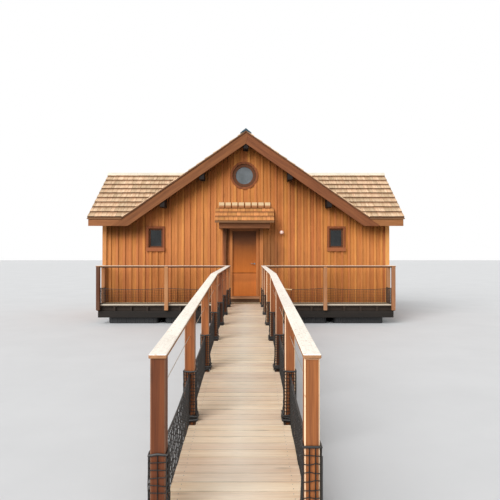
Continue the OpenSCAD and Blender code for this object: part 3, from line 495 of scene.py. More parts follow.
def shingleFinish(name, pale, dark, buttShade, buttShare):
    # split shingles: pale faces, butts darkened as painted shade, and a painted shadow where the next course lies over
    # them
    material, tree, shader = newMaterial(name, 0.8)
    shader.inputs["Specular IOR Level"].default_value = 0.25
    grain = useGroup(tree, grainGroup, Vector=node(tree, "ShaderNodeAttribute", attribute_name="grain").outputs["Vector"],
                     Knots=0.15)
    own = node(tree, "ShaderNodeAttribute", attribute_name="tone").outputs["Fac"]
    climb = node(tree, "ShaderNodeAttribute", attribute_name="climb").outputs["Fac"]
    butt = node(tree, "ShaderNodeAttribute", attribute_name="butt").outputs["Fac"]
    place = node(tree, "ShaderNodeTexCoord").outputs["Object"]
    weather = useGroup(tree, weatherGroup, Vector=place, Size=1.4)
    colour = blendColours(tree, grain["Streak"], dark, pale)
    # painted shadow of the next course over the top of each exposure
    paintedCourseShadow = ramp(tree, climb, 0.5, 0.96, 0.0, 0.9)
    colour = blendColours(tree, paintedCourseShadow, colour, linear(116, 76, 46))
    colour = blendColours(tree, maths(tree, "MULTIPLY", butt, buttShare), colour, buttShade)
    value = maths(tree, "MULTIPLY_ADD", own, 0.4, 0.92)
    value = maths(tree, "MULTIPLY", value, ramp(tree, grain["Fibre"], 0.3, 0.7, 0.9, 1.1))
    value = maths(tree, "MULTIPLY", value, ramp(tree, weather["Patch"], 0, 1, 0.93, 1.07))
    tint = node(tree, "ShaderNodeHueSaturation", {"Hue": maths(tree, "MULTIPLY_ADD", own, -0.008, 0.504), "Value": value,
                                                  "Color": colour}).outputs["Color"]
    tree.links.new(tint, shader.inputs["Base Color"])
    relief = node(tree, "ShaderNodeBump", {"Height": grain["Height"], "Distance": 0.004, "Strength": 1.0})
    tree.links.new(relief.outputs["Normal"], shader.inputs["Normal"])
    return material


def plainFinish(name, colour, other, size=30.0, roughness=0.5, metallic=0.0, bump=0.0005, coat=0.0):
    material, tree, shader = newMaterial(name, roughness)
    place = node(tree, "ShaderNodeTexCoord").outputs["Object"]
    weather = useGroup(tree, weatherGroup, Vector=place, Size=size)
    tree.links.new(blendColours(tree, weather["Patch"], colour, other), shader.inputs["Base Color"])
    tree.links.new(ramp(tree, weather["Speck"], 0, 1, roughness - 0.08, roughness + 0.12), shader.inputs["Roughness"])
    shader.inputs["Metallic"].default_value = metallic
    shader.inputs["Coat Weight"].default_value = coat
    relief = node(tree, "ShaderNodeBump", {"Height": noise(tree, place, size * 4, 3), "Distance": bump, "Strength": 1.0})
    tree.links.new(relief.outputs["Normal"], shader.inputs["Normal"])
    return material


def shellFinish(name, colour, other, pitch):
    # moulded floats: upright ribs on their sides, a fine grain everywhere
    material, tree, shader = newMaterial(name, 0.55)
    place = node(tree, "ShaderNodeTexCoord").outputs["Object"]
    axes = node(tree, "ShaderNodeSeparateXYZ", {0: place}).outputs
    facing = node(tree, "ShaderNodeSeparateXYZ", {0: node(tree, "ShaderNodeNewGeometry").outputs["Normal"]}).outputs
    height = noise(tree, place, 40, 3)
    for along, across in (("X", "Y"), ("Y", "X")):
        wave = maths(tree, "SINE", maths(tree, "MULTIPLY", axes[along], 2 * math.pi / pitch))
        ribbed = maths(tree, "MULTIPLY", ramp(tree, wave, -0.3, 0.3), maths(tree, "ABSOLUTE", facing[across]))
        height = maths(tree, "MULTIPLY_ADD", ribbed, 4.0, height)
    patch = useGroup(tree, weatherGroup, Vector=place, Size=3.0)["Patch"]
    tree.links.new(blendColours(tree, patch, colour, other), shader.inputs["Base Color"])
    relief = node(tree, "ShaderNodeBump", {"Height": height, "Distance": 0.003, "Strength": 1.0})
    tree.links.new(relief.outputs["Normal"], shader.inputs["Normal"])
    return material


def paneFinish(name):
    # dark small panes with patches of painted reflection, and the high round pane painted pale as a painted reflection
    # of the sky
    material, tree, shader = newMaterial(name, 0.06)
    place = node(tree, "ShaderNodeTexCoord").outputs["Object"]
    high = ramp(tree, node(tree, "ShaderNodeSeparateXYZ", {0: place}).outputs["Z"], 3.2, 3.3)
    patch = useGroup(tree, weatherGroup, Vector=place, Size=2.2)["Patch"]
    low = blendColours(tree, patch, linear(20, 24, 26), linear(44, 50, 52))
    colour = blendColours(tree, high, low, blendColours(tree, patch, linear(98, 104, 106), linear(120, 126, 130)))
    tree.links.new(colour, shader.inputs["Base Color"])
    tree.links.new(ramp(tree, patch, 0, 1, 0.04, 0.1), shader.inputs["Roughness"])
    shader.inputs["Transmission Weight"].default_value = 0.25
    shader.inputs["Specular IOR Level"].default_value = 0.35
    shader.inputs["IOR"].default_value = 1.5
    return material


def capRowFinish(name, foot, head, level):
    # the row over the canopy: brown feet and pale heads
    material, tree, shader = newMaterial(name, 0.7)
    place = node(tree, "ShaderNodeTexCoord").outputs["Object"]
    grain = useGroup(tree, grainGroup, Vector=node(tree, "ShaderNodeAttribute", attribute_name="grain").outputs["Vector"], Knots=0.1)
    high = ramp(tree, node(tree, "ShaderNodeSeparateXYZ", {0: place}).outputs["Z"], level - 0.01, level + 0.01)
    colour = blendColours(tree, high, foot, head)
    tint = node(tree, "ShaderNodeHueSaturation", {"Value": ramp(tree, grain["Streak"], 0, 1, 0.85, 1.08), "Color": colour})
    tree.links.new(tint.outputs["Color"], shader.inputs["Base Color"])
    relief = node(tree, "ShaderNodeBump", {"Height": grain["Height"], "Distance": 0.002, "Strength": 1.0})
    tree.links.new(relief.outputs["Normal"], shader.inputs["Normal"])
    return material


finishes = {
    "shingles": shingleFinish("splitShingles", linear(220, 192, 160), linear(172, 138, 104), linear(72, 42, 26), 0.95),
    "canopyShingles": shingleFinish("canopyShingleWood", linear(206, 146, 88), linear(168, 108, 60), linear(190, 130, 88), 0.6),
    "canopyRow": capRowFinish("canopyRowWood", linear(160, 106, 62), linear(206, 176, 134), 3.435),
    "underlay": timber("roofUnderlay", linear(128, 88, 58), linear(88, 60, 42), knots=0.2,
                       boards={"axis": "Z", "width": 0.19, "turn": (0, 0, 0)}),
    # cladding and battens: painted shade at the foot behind the net, right of the door under the canopy, under the left
    # eave and under the right bargeboard
    "cladding": timber("claddingBoards", linear(190, 121, 62), linear(162, 95, 46), tone=0.2, knots=0.4, bump=0.0012,
                       low=(0.7, 1.1, 0.84), paintedShade=(((0.74, 0, 2.1), (0.5, 0.4, 0.9), 0.5), ((-3.5, 0, 2.72), (1.1, 0.4, 0.34), 0.62), ((1.9, 0, 3.75), (1.2, 0.4, 0.7), 0.8))),
    "battens": timber("claddingBattens", linear(198, 129, 68), linear(172, 103, 52), tone=0.2, knots=0.3, bump=0.001,
                      low=(0.7, 1.1, 0.84), paintedShade=(((0.74, 0, 2.1), (0.5, 0.4, 0.9), 0.5), ((-3.5, 0, 2.72), (1.1, 0.4, 0.34), 0.62), ((1.9, 0, 3.75), (1.2, 0.4, 0.7), 0.8))),
    "inner": timber("innerBoards", linear(226, 186, 134), linear(198, 152, 102), knots=0.3,
                    boards={"axis": "X", "plus": "Y", "width": 0.11, "turn": (0, math.pi / 2, 0)}),
    "floor": timber("floorBoards", linear(204, 160, 110), linear(170, 124, 80), knots=0.3,
                    boards={"axis": "Y", "width": 0.12, "turn": (0, 0, 0)}),
    "roofDeck": timber("roofDeckBoards", linear(132, 84, 54), linear(98, 60, 38), knots=0.3,
                       boards={"axis": "Y", "width": 0.14, "turn": (0, 0, 0)}),
    "trim": timber("paleTrim", linear(212, 148, 88), linear(186, 120, 66), tone=0.16, knots=0.25),
    # door frame: painted shade at its head under the canopy and in the doorway's left reveal
    "frame": timber("doorFrameWood", linear(190, 120, 68), linear(162, 94, 52), tone=0.1, knots=0.2, low=(2.8, 2.3, 0.35),
                    paintedShade=(((-0.6, 0.1, 2.3), (0.12, 5, 1.6), 0.35),)),
    "barge": timber("bargeWood", linear(138, 86, 50), linear(104, 60, 33), tone=0.16, knots=0.25),
    "fascia": timber("fasciaWood", linear(162, 106, 64), linear(130, 82, 48), tone=0.14, knots=0.25),
    "canopyTrim": timber("canopyTrimWood", linear(124, 75, 45), linear(92, 52, 29), tone=0.14, knots=0.2),
    # purlin ends near black: painted shade under the bargeboards
    "purlin": timber("purlinWood", linear(28, 18, 13), linear(18, 12, 9), tone=0.2, knots=0.3),
    # window: the recess colour is painted shade on the sashes set back in the wall
    "window": timber("windowWood", linear(146, 84, 44), linear(106, 58, 30), tone=0.1, knots=0.1,
                     paintedRecessShade=linear(92, 52, 32), foot=(2.19, linear(152, 92, 54))),
    # door: painted shade at its head under the canopy, in its groove and over the lower panel
    "door": timber("doorWood", linear(202, 117, 48), linear(192, 108, 43), tone=0.08, knots=0.1, roughness=0.6, bump=0.0004,
                   low=(2.3, 1.45, 0.34), paintedShade=(((-0.05, 0.155, 1.43), (5, 5, 0.016), 0.35), ((-0.05, 0.155, 2.75), (5, 5, 0.5), 0.45),
                                                  ((-0.05, 0.155, 1.30), (5, 5, 0.16), 0.8))),
    # door sill: painted shade below its top edge
    "sill": timber("sillWood", linear(180, 128, 92), linear(150, 104, 74), tone=0.1, knots=0.2, low=(0.64, 0.69, 0.34)),
    # posts: pale arrises, partly rubbed wood and partly a painted highlight
    "post": timber("postWood", linear(166, 98, 50), linear(104, 55, 28), tone=0.9, knots=0.9, roughness=0.6, arrisWearAndSheen=0.3,
                   grey=linear(124, 84, 62), greyShare=0.2, rim=linear(214, 184, 152)),
    "platformPost": timber("platformPostWood", linear(176, 120, 76), linear(144, 90, 54), tone=0.9, knots=0.4, arrisWearAndSheen=0.4,
                           grey=linear(140, 116, 96), greyShare=0.4),
    # rails: near-white tops, partly bleached and partly a painted highlight
    "rail": timber("railWood", linear(176, 126, 90), linear(142, 98, 68), tone=0.06, knots=0.2, top=linear(253, 246, 234), arrisWearAndSheen=0.1),
    "deck": timber("deckWood", linear(253, 230, 202), linear(226, 190, 154), tone=0.16, knots=0.8, ribs=0.0125, arrisWearAndSheen=-0.4,
                   grey=linear(226, 212, 196), greyShare=0.25, bump=0.002, path=(0.1, 0.42, linear(246, 234, 216), 0.6)),
    # platform deck darker and greyer than the walkway: partly weathering, partly painted shade from the net
    "platformDeck": timber("platformDeckWood", linear(192, 168, 132), linear(162, 140, 108), tone=0.14, knots=0.35, ribs=0.0125,
                           grey=linear(160, 150, 134), greyShare=0.5, bump=0.002),
    "deckEdge": timber("deckEdgeWood", linear(212, 200, 180), linear(184, 170, 150), tone=0.1, knots=0.2),
    # beams near black: painted shade under the deck; darker still towards the bottom
    "beam": timber("beamWood", linear(40, 33, 28), linear(27, 23, 20), tone=0.2, knots=0.4, low=(0.18, 0.4, 0.7)),
    "joist": timber("joistWood", linear(58, 45, 35), linear(40, 32, 26), tone=0.5, knots=0.3),
    "stringer": timber("stringerWood", linear(128, 96, 68), linear(96, 70, 50), tone=0.2, knots=0.3),
    "float": shellFinish("floatShell", linear(24, 24, 25), linear(33, 33, 34), 0.13),
    "net": plainFinish("netCord", linear(22, 20, 18), linear(38, 34, 31), 60.0, 0.55, bump=0.0006),
    "lashing": plainFinish("paleLashing", linear(234, 200, 150), linear(204, 168, 122), 60.0, 0.8, bump=0.0006),
    "wire": plainFinish("strandedWire", linear(198, 190, 172), linear(150, 142, 128), 80.0, 0.4, metallic=0.4),
    "bar": plainFinish("darkSteelBar", linear(58, 46, 38), linear(40, 32, 28), 30.0, 0.5, metallic=0.3),
    # one zinc sheet on both ridges: the main ridge's cap dark as painted shade, the wing caps pale as painted sunlight
    "cap": plainFinish("darkSheet", linear(18, 50, 62), linear(26, 62, 76), 2.5, 0.45, bump=0.001),
    "paintedSunlitCap": plainFinish("paleSheet", linear(228, 220, 200), linear(206, 198, 180), 2.5, 0.5, bump=0.001),
    "metal": plainFinish("brushedFittings", linear(170, 168, 164), linear(140, 138, 134), 40.0, 0.32, metallic=0.95),
    "screw": plainFinish("screwHeads", linear(150, 146, 140), linear(120, 116, 110), 60.0, 0.4, metallic=0.8),
    "globe": plainFinish("opalGlobe", linear(244, 206, 192), linear(238, 196, 180), 12.0, 0.25, coat=0.3),
    "pane": paneFinish("windowGlass"),
}
print("finishes:", len(finishes))

# camera, light and floor
view = {"place": (0.09, -15.3, 2.0), "lens": 37.15, "up": 0.444, "right": 0.11}
bpy.ops.object.camera_add(location=view["place"],
                          rotation=(math.radians(90 + view["up"]), 0, math.radians(-view["right"])))
camera = bpy.context.object
camera.name = "photoCamera"
camera.data.lens = view["lens"]
camera.data.sensor_width = 36
camera.data.clip_end = 400
bpy.context.scene.camera = camera
bpy.context.scene.view_settings.view_transform = "Standard"

light = {"along": (0.46, 0.72, -0.52), "strength": 3.05, "softness": 42, "sky": 0.57}
bpy.ops.object.light_add(type="SUN", location=(-6, -9, 12),
                         rotation=Vector(light["along"]).to_track_quat("-Z", "Y").to_euler())
sun = bpy.context.object
sun.data.energy = light["strength"]
sun.data.angle = math.radians(light["softness"])
world = bpy.data.worlds.new("softSky")
bpy.context.scene.world = world
world.use_nodes = True
sky = world.node_tree
ray = node(sky, "ShaderNodeLightPath")
seen = maths(sky, "ADD", maths(sky, "ADD", ray.outputs["Is Camera Ray"], ray.outputs["Is Glossy Ray"]),
             ray.outputs["Is Transmission Ray"], clamp=True)
backdrop = sky.nodes["Background"]
backdrop.inputs["Color"].default_value = (1, 1, 1, 1)
sky.links.new(ramp(sky, seen, 0, 1, light["sky"], 1.0), backdrop.inputs["Strength"])

deselect()
bpy.ops.mesh.primitive_plane_add(size=300, location=(0, 0, 0))
ground = bpy.context.object
ground.name = "paleFloor"
ground.data.materials.append(plainFinish("paleFloor", linear(214, 215, 216), linear(210, 211, 212), 0.6, 0.9, bump=0.0))

# shingles, laid one by one in courses
shingle = {"butt": 0.022, "head": 0.006, "length": 0.385, "exposure": 0.29, "widths": (0.085, 0.19), "gap": 0.006,
           "slip": 0.006, "seed": 11}


def wedge(spec):
    piece = blockOf("shingleTemplate", (0, 0, -spec["butt"]), (1, spec["length"], 0), bevel=0)
    sink = spec["butt"] / spec["exposure"] * spec["length"]
    choose(piece, lambda v: v.co.y > 0.01 and v.co.z > -0.001)
    bpy.ops.transform.translate(value=(0, 0, -sink))
    choose(piece, lambda v: v.co.y > 0.01 and abs(v.co.z + spec["butt"]) < 1e-5)
    bpy.ops.transform.translate(value=(0, 0, spec["butt"] - sink - spec["head"]))
    objectMode()
    return piece


def markShingles(obj, origin, up, normal, step, butt, seed):
    # how far up its course a point lies, and which faces are butts
    markTimber(obj, seed)
    mesh = obj.data
    points = np.empty(len(mesh.vertices) * 3)
    mesh.vertices.foreach_get("co", points)
    points = points.reshape(-1, 3) - np.array(origin)
    label = np.empty(len(mesh.vertices), dtype=np.float32)
    mesh.attributes["tone"].data.foreach_get("value", label)
    climb = points @ np.array(up)
    keys, place = np.unique(label, return_inverse=True)
    lowest = np.full(len(keys), 1e9)
    np.minimum.at(lowest, place, climb)
    keep(mesh, "climb", "FLOAT", "POINT", (climb - lowest[place]) / step)
    facing = [1.0 if -Vector(up).dot(face.normal) > 0.7 else 0.0 for face in mesh.polygons]
    keep(mesh, "butt", "FLOAT", "FACE", facing)


def shingleSlope(name, spec, start, across, run, rises, rows, cuts, finish, slot, seed, stands=()):
    # start is the foot of the slope, across runs along the courses and rises is (horizontal, vertical) upwards
    rng = random.Random(seed)
    across, upward = Vector(across).normalized(), Vector(rises).normalized()
    normal = across.cross(upward).normalized()
    if normal.z < 0:
        normal = -normal
    places = []
    for row, (low, high) in enumerate(rows):
        x = low - rng.uniform(0, 0.08)
        while x < high:
            wide = rng.uniform(*spec["widths"])
            foot = Vector(start) + across * x + upward * (row * spec["exposure"] + rng.uniform(-1, 0.4) * spec["slip"])
            turn = math.radians(rng.uniform(-0.5, 0.5))
            side, up = across * math.cos(turn) + upward * math.sin(turn), upward * math.cos(turn) - across * math.sin(turn)
            drop = normal * rng.uniform(-0.0025, 0)
            place = Matrix.Identity(4)
            flip = side.cross(up).dot(normal) < 0
            if flip:
                side, foot = -side, foot + side * (wide - spec["gap"])
            for k, axis in enumerate((side * (wide - spec["gap"]), up, normal)):
                place.col[k][:3] = axis
            place.col[3][:3] = foot + drop
            places.append(place)
            x += wide
    piece = spread(wedge(spec), places, name)
    for point, plane in cuts:
        cutAt(piece, point, plane)
    markShingles(piece, start, upward, normal, spec["exposure"], spec["butt"], seed)
    return finishPiece(piece, finishes[finish], slot, *stands)


def underlayOf(node, name, planes, slot="shingle_wood"):
    piece = copyOfNode(node, name)
    for point, normal in planes:
        cutAt(piece, point, normal)
    return finishPiece(piece, finishes["underlay"], slot, node)


def roofCourses():
    s = shared
    cosine, rise = math.cos(s["pitch"]), s["rise"]
    deep = 0.036 / cosine
    step = shingle["exposure"] * cosine
    far = 0.7071
    for side, word in ((-1, "Left"), (1, "Right")):
        # main slope: rows in front of and behind the valleys, then right across
        edge = side * s["gableHalf"]
        front, back = s["vergeFront"] - s["drip"], s["vergeBack"] + s["drip"]
        lip = -s["drip"]
        for part, seed in (("Front", 1), ("Back", 2), ("Upper", 3)):
            rows = []
            for k in range(15):
                high = min((k + 1.6) * step, s["gableHalf"])
                if part == "Upper":
                    rows.append((front, back) if k * step > s["wingRun"] - 0.001 else (0, 0))
                elif k * step > s["wingRun"] - 0.001:
                    rows.append((0, 0))
                elif part == "Front":
                    rows.append((front, min(s["vergeFront"] + high, s["midY"])))
                else:
                    rows.append((max(s["vergeBack"] - high, s["midY"]), back))
            cuts = [((0, front, 0), (0, -1, 0)), ((0, back, 0), (0, 1, 0)), ((0, 0, 0), (-side, 0, 0))]
            valleyFront = ((edge, s["vergeFront"], 0), (side * far, far, 0))
            valleyBack = ((edge, s["vergeBack"], 0), (side * far, -far, 0))
            if part == "Front":
                cuts += [valleyFront, ((0, s["midY"], 0), (0, 1, 0))]
            elif part == "Back":
                cuts += [valleyBack, ((0, s["midY"], 0), (0, -1, 0))]
            shingleSlope(f"mainShingles{word}{part}", shingle, (edge, 0, s["eaveZ"]), (0, 1, 0), 0,
                         (-side, 0, rise), rows, cuts, "shingles", "shingle_wood", seed * 7 + (side > 0),
                         (f"main_shingles_{word.lower()}",))
        underlayOf(f"main_shingles_{word.lower()}", f"mainUnderlay{word}",
                   [((edge, 0, s["eaveZ"] - deep), (side * math.sin(s["pitch"]), 0, cosine))])
        # wing slopes, front and back
        for sense, part in ((1, "Front"), (-1, "Back")):
            verge = s["vergeFront"] if sense > 0 else s["vergeBack"]
            outer = side * (s["roofHalf"] + s["drip"])
            rows = []
            for k in range(10):
                inner = side * (s["gableHalf"] - min((k + 1.6) * step, s["wingRun"]))
                rows.append((min(outer, inner), max(outer, inner)))
            cuts = [((outer, 0, 0), (side, 0, 0)), ((0, s["midY"], 0), (0, sense, 0)),
                    ((edge, verge, 0), (-side * far, -sense * far, 0))]
            shingleSlope(f"wingShingles{word}{part}", shingle, (0, verge, s["eaveZ"]), (1, 0, 0), 0,
                         (0, sense, rise), rows, cuts, "shingles", "shingle_wood", 40 + sense * 3 + side,
                         (f"wing_shingles_{word.lower()}",))
        underlayOf(f"wing_shingles_{word.lower()}", f"wingUnderlay{word}",
                   [((0, s["vergeFront"], s["eaveZ"] - deep), (0, -math.sin(s["pitch"]), cosine)),
                    ((0, s["vergeBack"], s["eaveZ"] - deep), (0, math.sin(s["pitch"]), cosine))])


roofCourses()
print("roof courses laid")

canopy = {"butt": 0.022, "head": 0.006, "length": 0.285, "exposure": 0.2176, "widths": (0.09, 0.17), "gap": 0.006, "slip": 0.004,
          "left": -0.895, "right": 0.815, "front": -0.5, "frontZ": 2.98, "rise": 0.8391, "under": 0.034,
          "rowLeft": -0.8175, "rowRight": 0.7375, "rowCount": 8, "rowShare": 0.86}


def canopyCourses():
    spec = canopy
    across = math.hypot(1, spec["rise"])
    normal = Vector((0, -spec["rise"], 1)) / across
    start = Vector((0, spec["front"], spec["frontZ"]))
    cuts = [((spec["left"], 0, 0), (-1, 0, 0)), ((spec["right"], 0, 0), (1, 0, 0)), ((0, -0.001, 0), (0, 1, 0))]
    shingleSlope("canopyCourses", spec, start, (1, 0, 0), 0, (0, 1, spec["rise"]), [(spec["left"], spec["right"])] * 3, cuts,
                 "canopyShingles", "shingle_wood", 71, ("canopy_shingles",))
    underlayOf("canopy_shingles", "canopyUnderlay", [(start - normal * spec["under"], normal)])
    row = cutAt(copyOfNode("canopy_shingles", "canopyTopRow"), start + normal * 0.001, -normal)
    pitch = (spec["rowRight"] - spec["rowLeft"]) / spec["rowCount"]
    for vert in row.data.vertices:  # each stands apart from the next
        middle = spec["rowLeft"] + pitch * (math.floor((vert.co.x - spec["rowLeft"]) / pitch) + 0.5)
        vert.co.x = middle + (vert.co.x - middle) * spec["rowShare"]
    markTimber(softEdges(row, 0.004), 72)
    finishPiece(row, finishes["canopyRow"], "shingle_wood", "canopy_shingles")


canopyCourses()
print("canopy laid")

# cladding: boards with battens over their joints
cladding = {"pitch": 0.197, "wander": 0.012, "board": 0.022, "face": 0.016, "batten": 0.068, "battenFace": -0.012,
            "into": 0.03, "core": 0.036, "seed": 23}


def cutterOf(boxes, drums):
    parts = [blockOf("cutter", (x0, -0.2, z0), (x1, 0.3, z1), bevel=0) for x0, x1, z0, z1 in boxes]
    for x, z, across in drums:
        deselect()
        bpy.ops.mesh.primitive_cylinder_add(vertices=48, radius=across / 2, depth=0.5, location=(x, 0.05, z),
                                            rotation=(math.pi / 2, 0, 0))
        parts.append(bpy.context.object)
    return joined(parts, "cutter")


def cladWall(name, half, top, tops, place, stands, openings=(), casings=(), rounds=(), slot="cladding_wood", seed=0, end=0.0):
    rng = random.Random(cladding["seed"] + seed)
    low, joints = shared["deckTop"], []
    x = -half + end
    while x < half - end - 0.12:
        joints.append(x)
        x += cladding["pitch"] + rng.uniform(-1, 1) * cladding["wander"]
    joints.append(half - end)
    spec = cladding
    half0, half1 = spec["pitch"] / 2, spec["batten"] / 2
    board = blockOf("board", (-half0, 0, 0), (half0, spec["board"], 1), bevel=0.003)
    places = [Matrix.Translation(((a + b) / 2, spec["face"] + rng.uniform(0, 0.0015), low))
              @ Matrix.Diagonal(((b - a - 0.004) / spec["pitch"], 1, top - low, 1)) for a, b in zip(joints, joints[1:])]
    boards = spread(board, places, name + "Boards")
    strip = blockOf("strip", (-half1, 0, 0), (half1, spec["face"] - spec["battenFace"], 1), bevel=0.005)
    places = [Matrix.Translation((a + rng.uniform(-0.004, 0.004), spec["battenFace"] + rng.uniform(0, 0.002), low))
              @ Matrix.Diagonal((rng.uniform(0.9, 1.1), 1, top - low, 1))
              for a in joints[1:-1] if abs(a) < half - 0.135]
    strips = spread(strip, places, name + "Battens")
    for piece, boxes, grow in ((boards, openings, 0.04), (strips, casings, 0.1)):
        if boxes or rounds:
            cutter = cutterOf(boxes, [(x, z, across + grow) for x, z, across in rounds])
            without(piece, cutter)
            bpy.data.objects.remove(cutter)
        for point, normal in tops:
            cutAt(piece, point, normal)
        piece.matrix_world = place
        joined([piece], piece.name)
        markTimber(piece, seed + (5 if piece is strips else 0))
    finishPiece(boards, finishes["cladding"], slot, *stands)
    finishPiece(strips, finishes["battens"], slot, *stands)


def wallCore(node, name, moves):
    piece = copyOfNode(node, name)
    for axis, limit, shift in moves:
        choose(piece, lambda v: v.co[axis] * limit > limit * limit - 0.001 * abs(limit) if limit else v.co[axis] < 0.001)
        bpy.ops.transform.translate(value=[shift if k == axis else 0 for k in range(3)])
        objectMode()
    return finishPiece(piece, finishes["inner"], "cladding_wood", node)


def walls():
    s = shared
    gap = cladding["into"] - s["roofThick"]
    cosine, sine = math.cos(s["pitch"]), math.sin(s["pitch"])
    mainTops = [((side * s["gableHalf"], 0, s["eaveZ"] + gap), (side * sine, 0, cosine)) for side in (-1, 1)]
    apex = s["eaveZ"] + s["gableHalf"] * s["rise"]
    wingTop = s["eaveZ"] + gap + 0.45 * s["rise"]
    small = [(x - 0.21, x + 0.21, 2.19, 2.757) for x in (-2.68, 2.68)]
    cased = [(x - 0.275, x + 0.275, 2.078, 2.822) for x in (-2.68, 2.68)]
    windowRound = [(-0.05, 4.33, 0.70)]
    fronts = {
        "front": (Matrix.Identity(4), ("front_wall_left", "front_wall_right", "front_gable"),
                  small + [(-0.59, 0.41, 0.4, 2.8)], cased + [(-0.692, 0.512, 0.4, 2.802)], windowRound),
        "rear": (Matrix.Translation((0, s["depth"], 0)) @ Matrix.Rotation(math.pi, 4, "Z"), ("rear_wall",),
                 small, cased, [(0.05, 4.33, 0.70)]),
    }
    for seed, (word, (place, stands, openings, casings, rounds)) in enumerate(fronts.items()):
        # the middle rises into the gable, the two ends stop under the wing roofs
        cladWall(word, s["halfWidth"], apex, [], place, stands, openings, casings, rounds, seed=seed * 10)
        for piece in (bpy.data.objects[word + "Boards"], bpy.data.objects[word + "Battens"]):
            trimTops(piece, wingTop, s, gap)
    for seed, (side, word) in enumerate(((-1, "left"), (1, "right"))):
        place = Matrix.Translation((side * s["halfWidth"], s["midY"], 0)) @ Matrix.Rotation(side * math.pi / 2, 4, "Z")
        tops = [((e * s["wingRun"], 0, s["eaveZ"] + gap), (e * sine, 0, cosine)) for e in (-1, 1)]
        cladWall(word, s["depth"] / 2, s["eaveZ"] + s["wingRun"] * s["rise"], tops, place, (word + "_wall",),
                 seed=30 + seed * 10, end=0.04)
    back, left, right = (1, 0, cladding["core"]), (0, -4.23, cladding["core"]), (0, 4.23, -cladding["core"])
    wallCore("front_wall_left", "frontCoreLeft", [back, left])
    wallCore("front_wall_right", "frontCoreRight", [back, right])
    wallCore("front_gable", "gableCore", [back])
    wallCore("rear_wall", "rearCore", [(1, 3.64, -cladding["core"]), left, right])
    wallCore("left_wall", "leftCore", [left])
    wallCore("right_wall", "rightCore", [right])


def trimTops(piece, wingTop, s, gap):
    # the roof is the higher of two planes, so the piece is parted at the corners and each part gets its own cut
    cosine, sine = math.cos(s["pitch"]), math.sin(s["pitch"])
    corner = s["gableHalf"] - 0.45
    parts = []
    for low, high in ((-9, -corner), (-corner, corner), (corner, 9)):
        part = portion(piece, 0, low, high)
        if low == -corner:
            for side in (-1, 1):
                cutAt(part, (side * s["gableHalf"], 0, s["eaveZ"] + gap), (side * sine, 0, cosine))
        else:
            cutAt(part, (0, 0, wingTop), (0, 0, 1))
        parts.append(part)
    name = piece.name
    made = joined(parts, name + "Cut")
    wholeMesh(made)
    bpy.ops.mesh.remove_doubles(threshold=1e-5)
    objectMode()
    piece.data = made.data
    bpy.data.objects.remove(made)
    markTimber(piece, len(name))


walls()
print("walls clad")

# decks
deckBoard = {"pitch": 0.137, "gap": 0.009, "arris": 0.004, "thick": 0.045, "half": 0.49, "notched": 0.428}


def walkZ(y):
    return shared["deckTop"] - max(0.0, shared["kinkY"] - y) * shared["rampSlope"]


def walkBoards(name, start, end, slope, stands, seed):
    spec, rng = deckBoard, random.Random(seed)
    length = (end - start) / math.cos(slope)
    count = round(length / spec["pitch"])
    pitch = length / count
    wide = (pitch - spec["gap"]) / 2
    template = blockOf("board", (-1, -wide, -spec["thick"]), (1, wide, 0), bevel=spec["arris"])
    places, heads = [], []
    for k in range(count):
        y = start + (k + 0.5) * pitch * math.cos(slope)
        near = min(abs(y - post) for post in shared["postYs"])
        half = spec["notched"] if near < 0.05 + pitch / 2 else spec["half"]
        turn = Matrix.Translation((0, y, walkZ(y) - rng.uniform(0, 0.0015))) @ Matrix.Rotation(slope, 4, "X")
        places.append(turn @ Matrix.Diagonal((half - rng.uniform(0, 0.003), 1, 1, 1)))
        for x in (-0.415, 0.415):
            for across in (-0.035, 0.035):
                heads.append(turn @ Matrix.Translation((x + rng.uniform(-0.004, 0.004), across + rng.uniform(-0.003, 0.003), 0)))
    piece = spread(template, places, name)
    markTimber(piece, seed)
    finishPiece(piece, finishes["deck"], "deck_wood", *stands)
    return heads


def screwHeads(name, places, slot="deck_wood", size=0.0045):
    deselect()
    bpy.ops.mesh.primitive_circle_add(vertices=8, radius=size, fill_type="NGON", location=(0, 0, 0.0002))
    piece = bpy.context.object
    wholeMesh(piece)
    bpy.ops.mesh.extrude_region_move(TRANSFORM_OT_translate={"value": (0, 0, 0.0006)})
    bpy.ops.transform.resize(value=(0.7, 0.7, 1))
    bpy.ops.mesh.select_all(action="SELECT")
    bpy.ops.mesh.normals_make_consistent(inside=False)
    objectMode()
    finishPiece(spread(piece, places, name), finishes["screw"], slot)


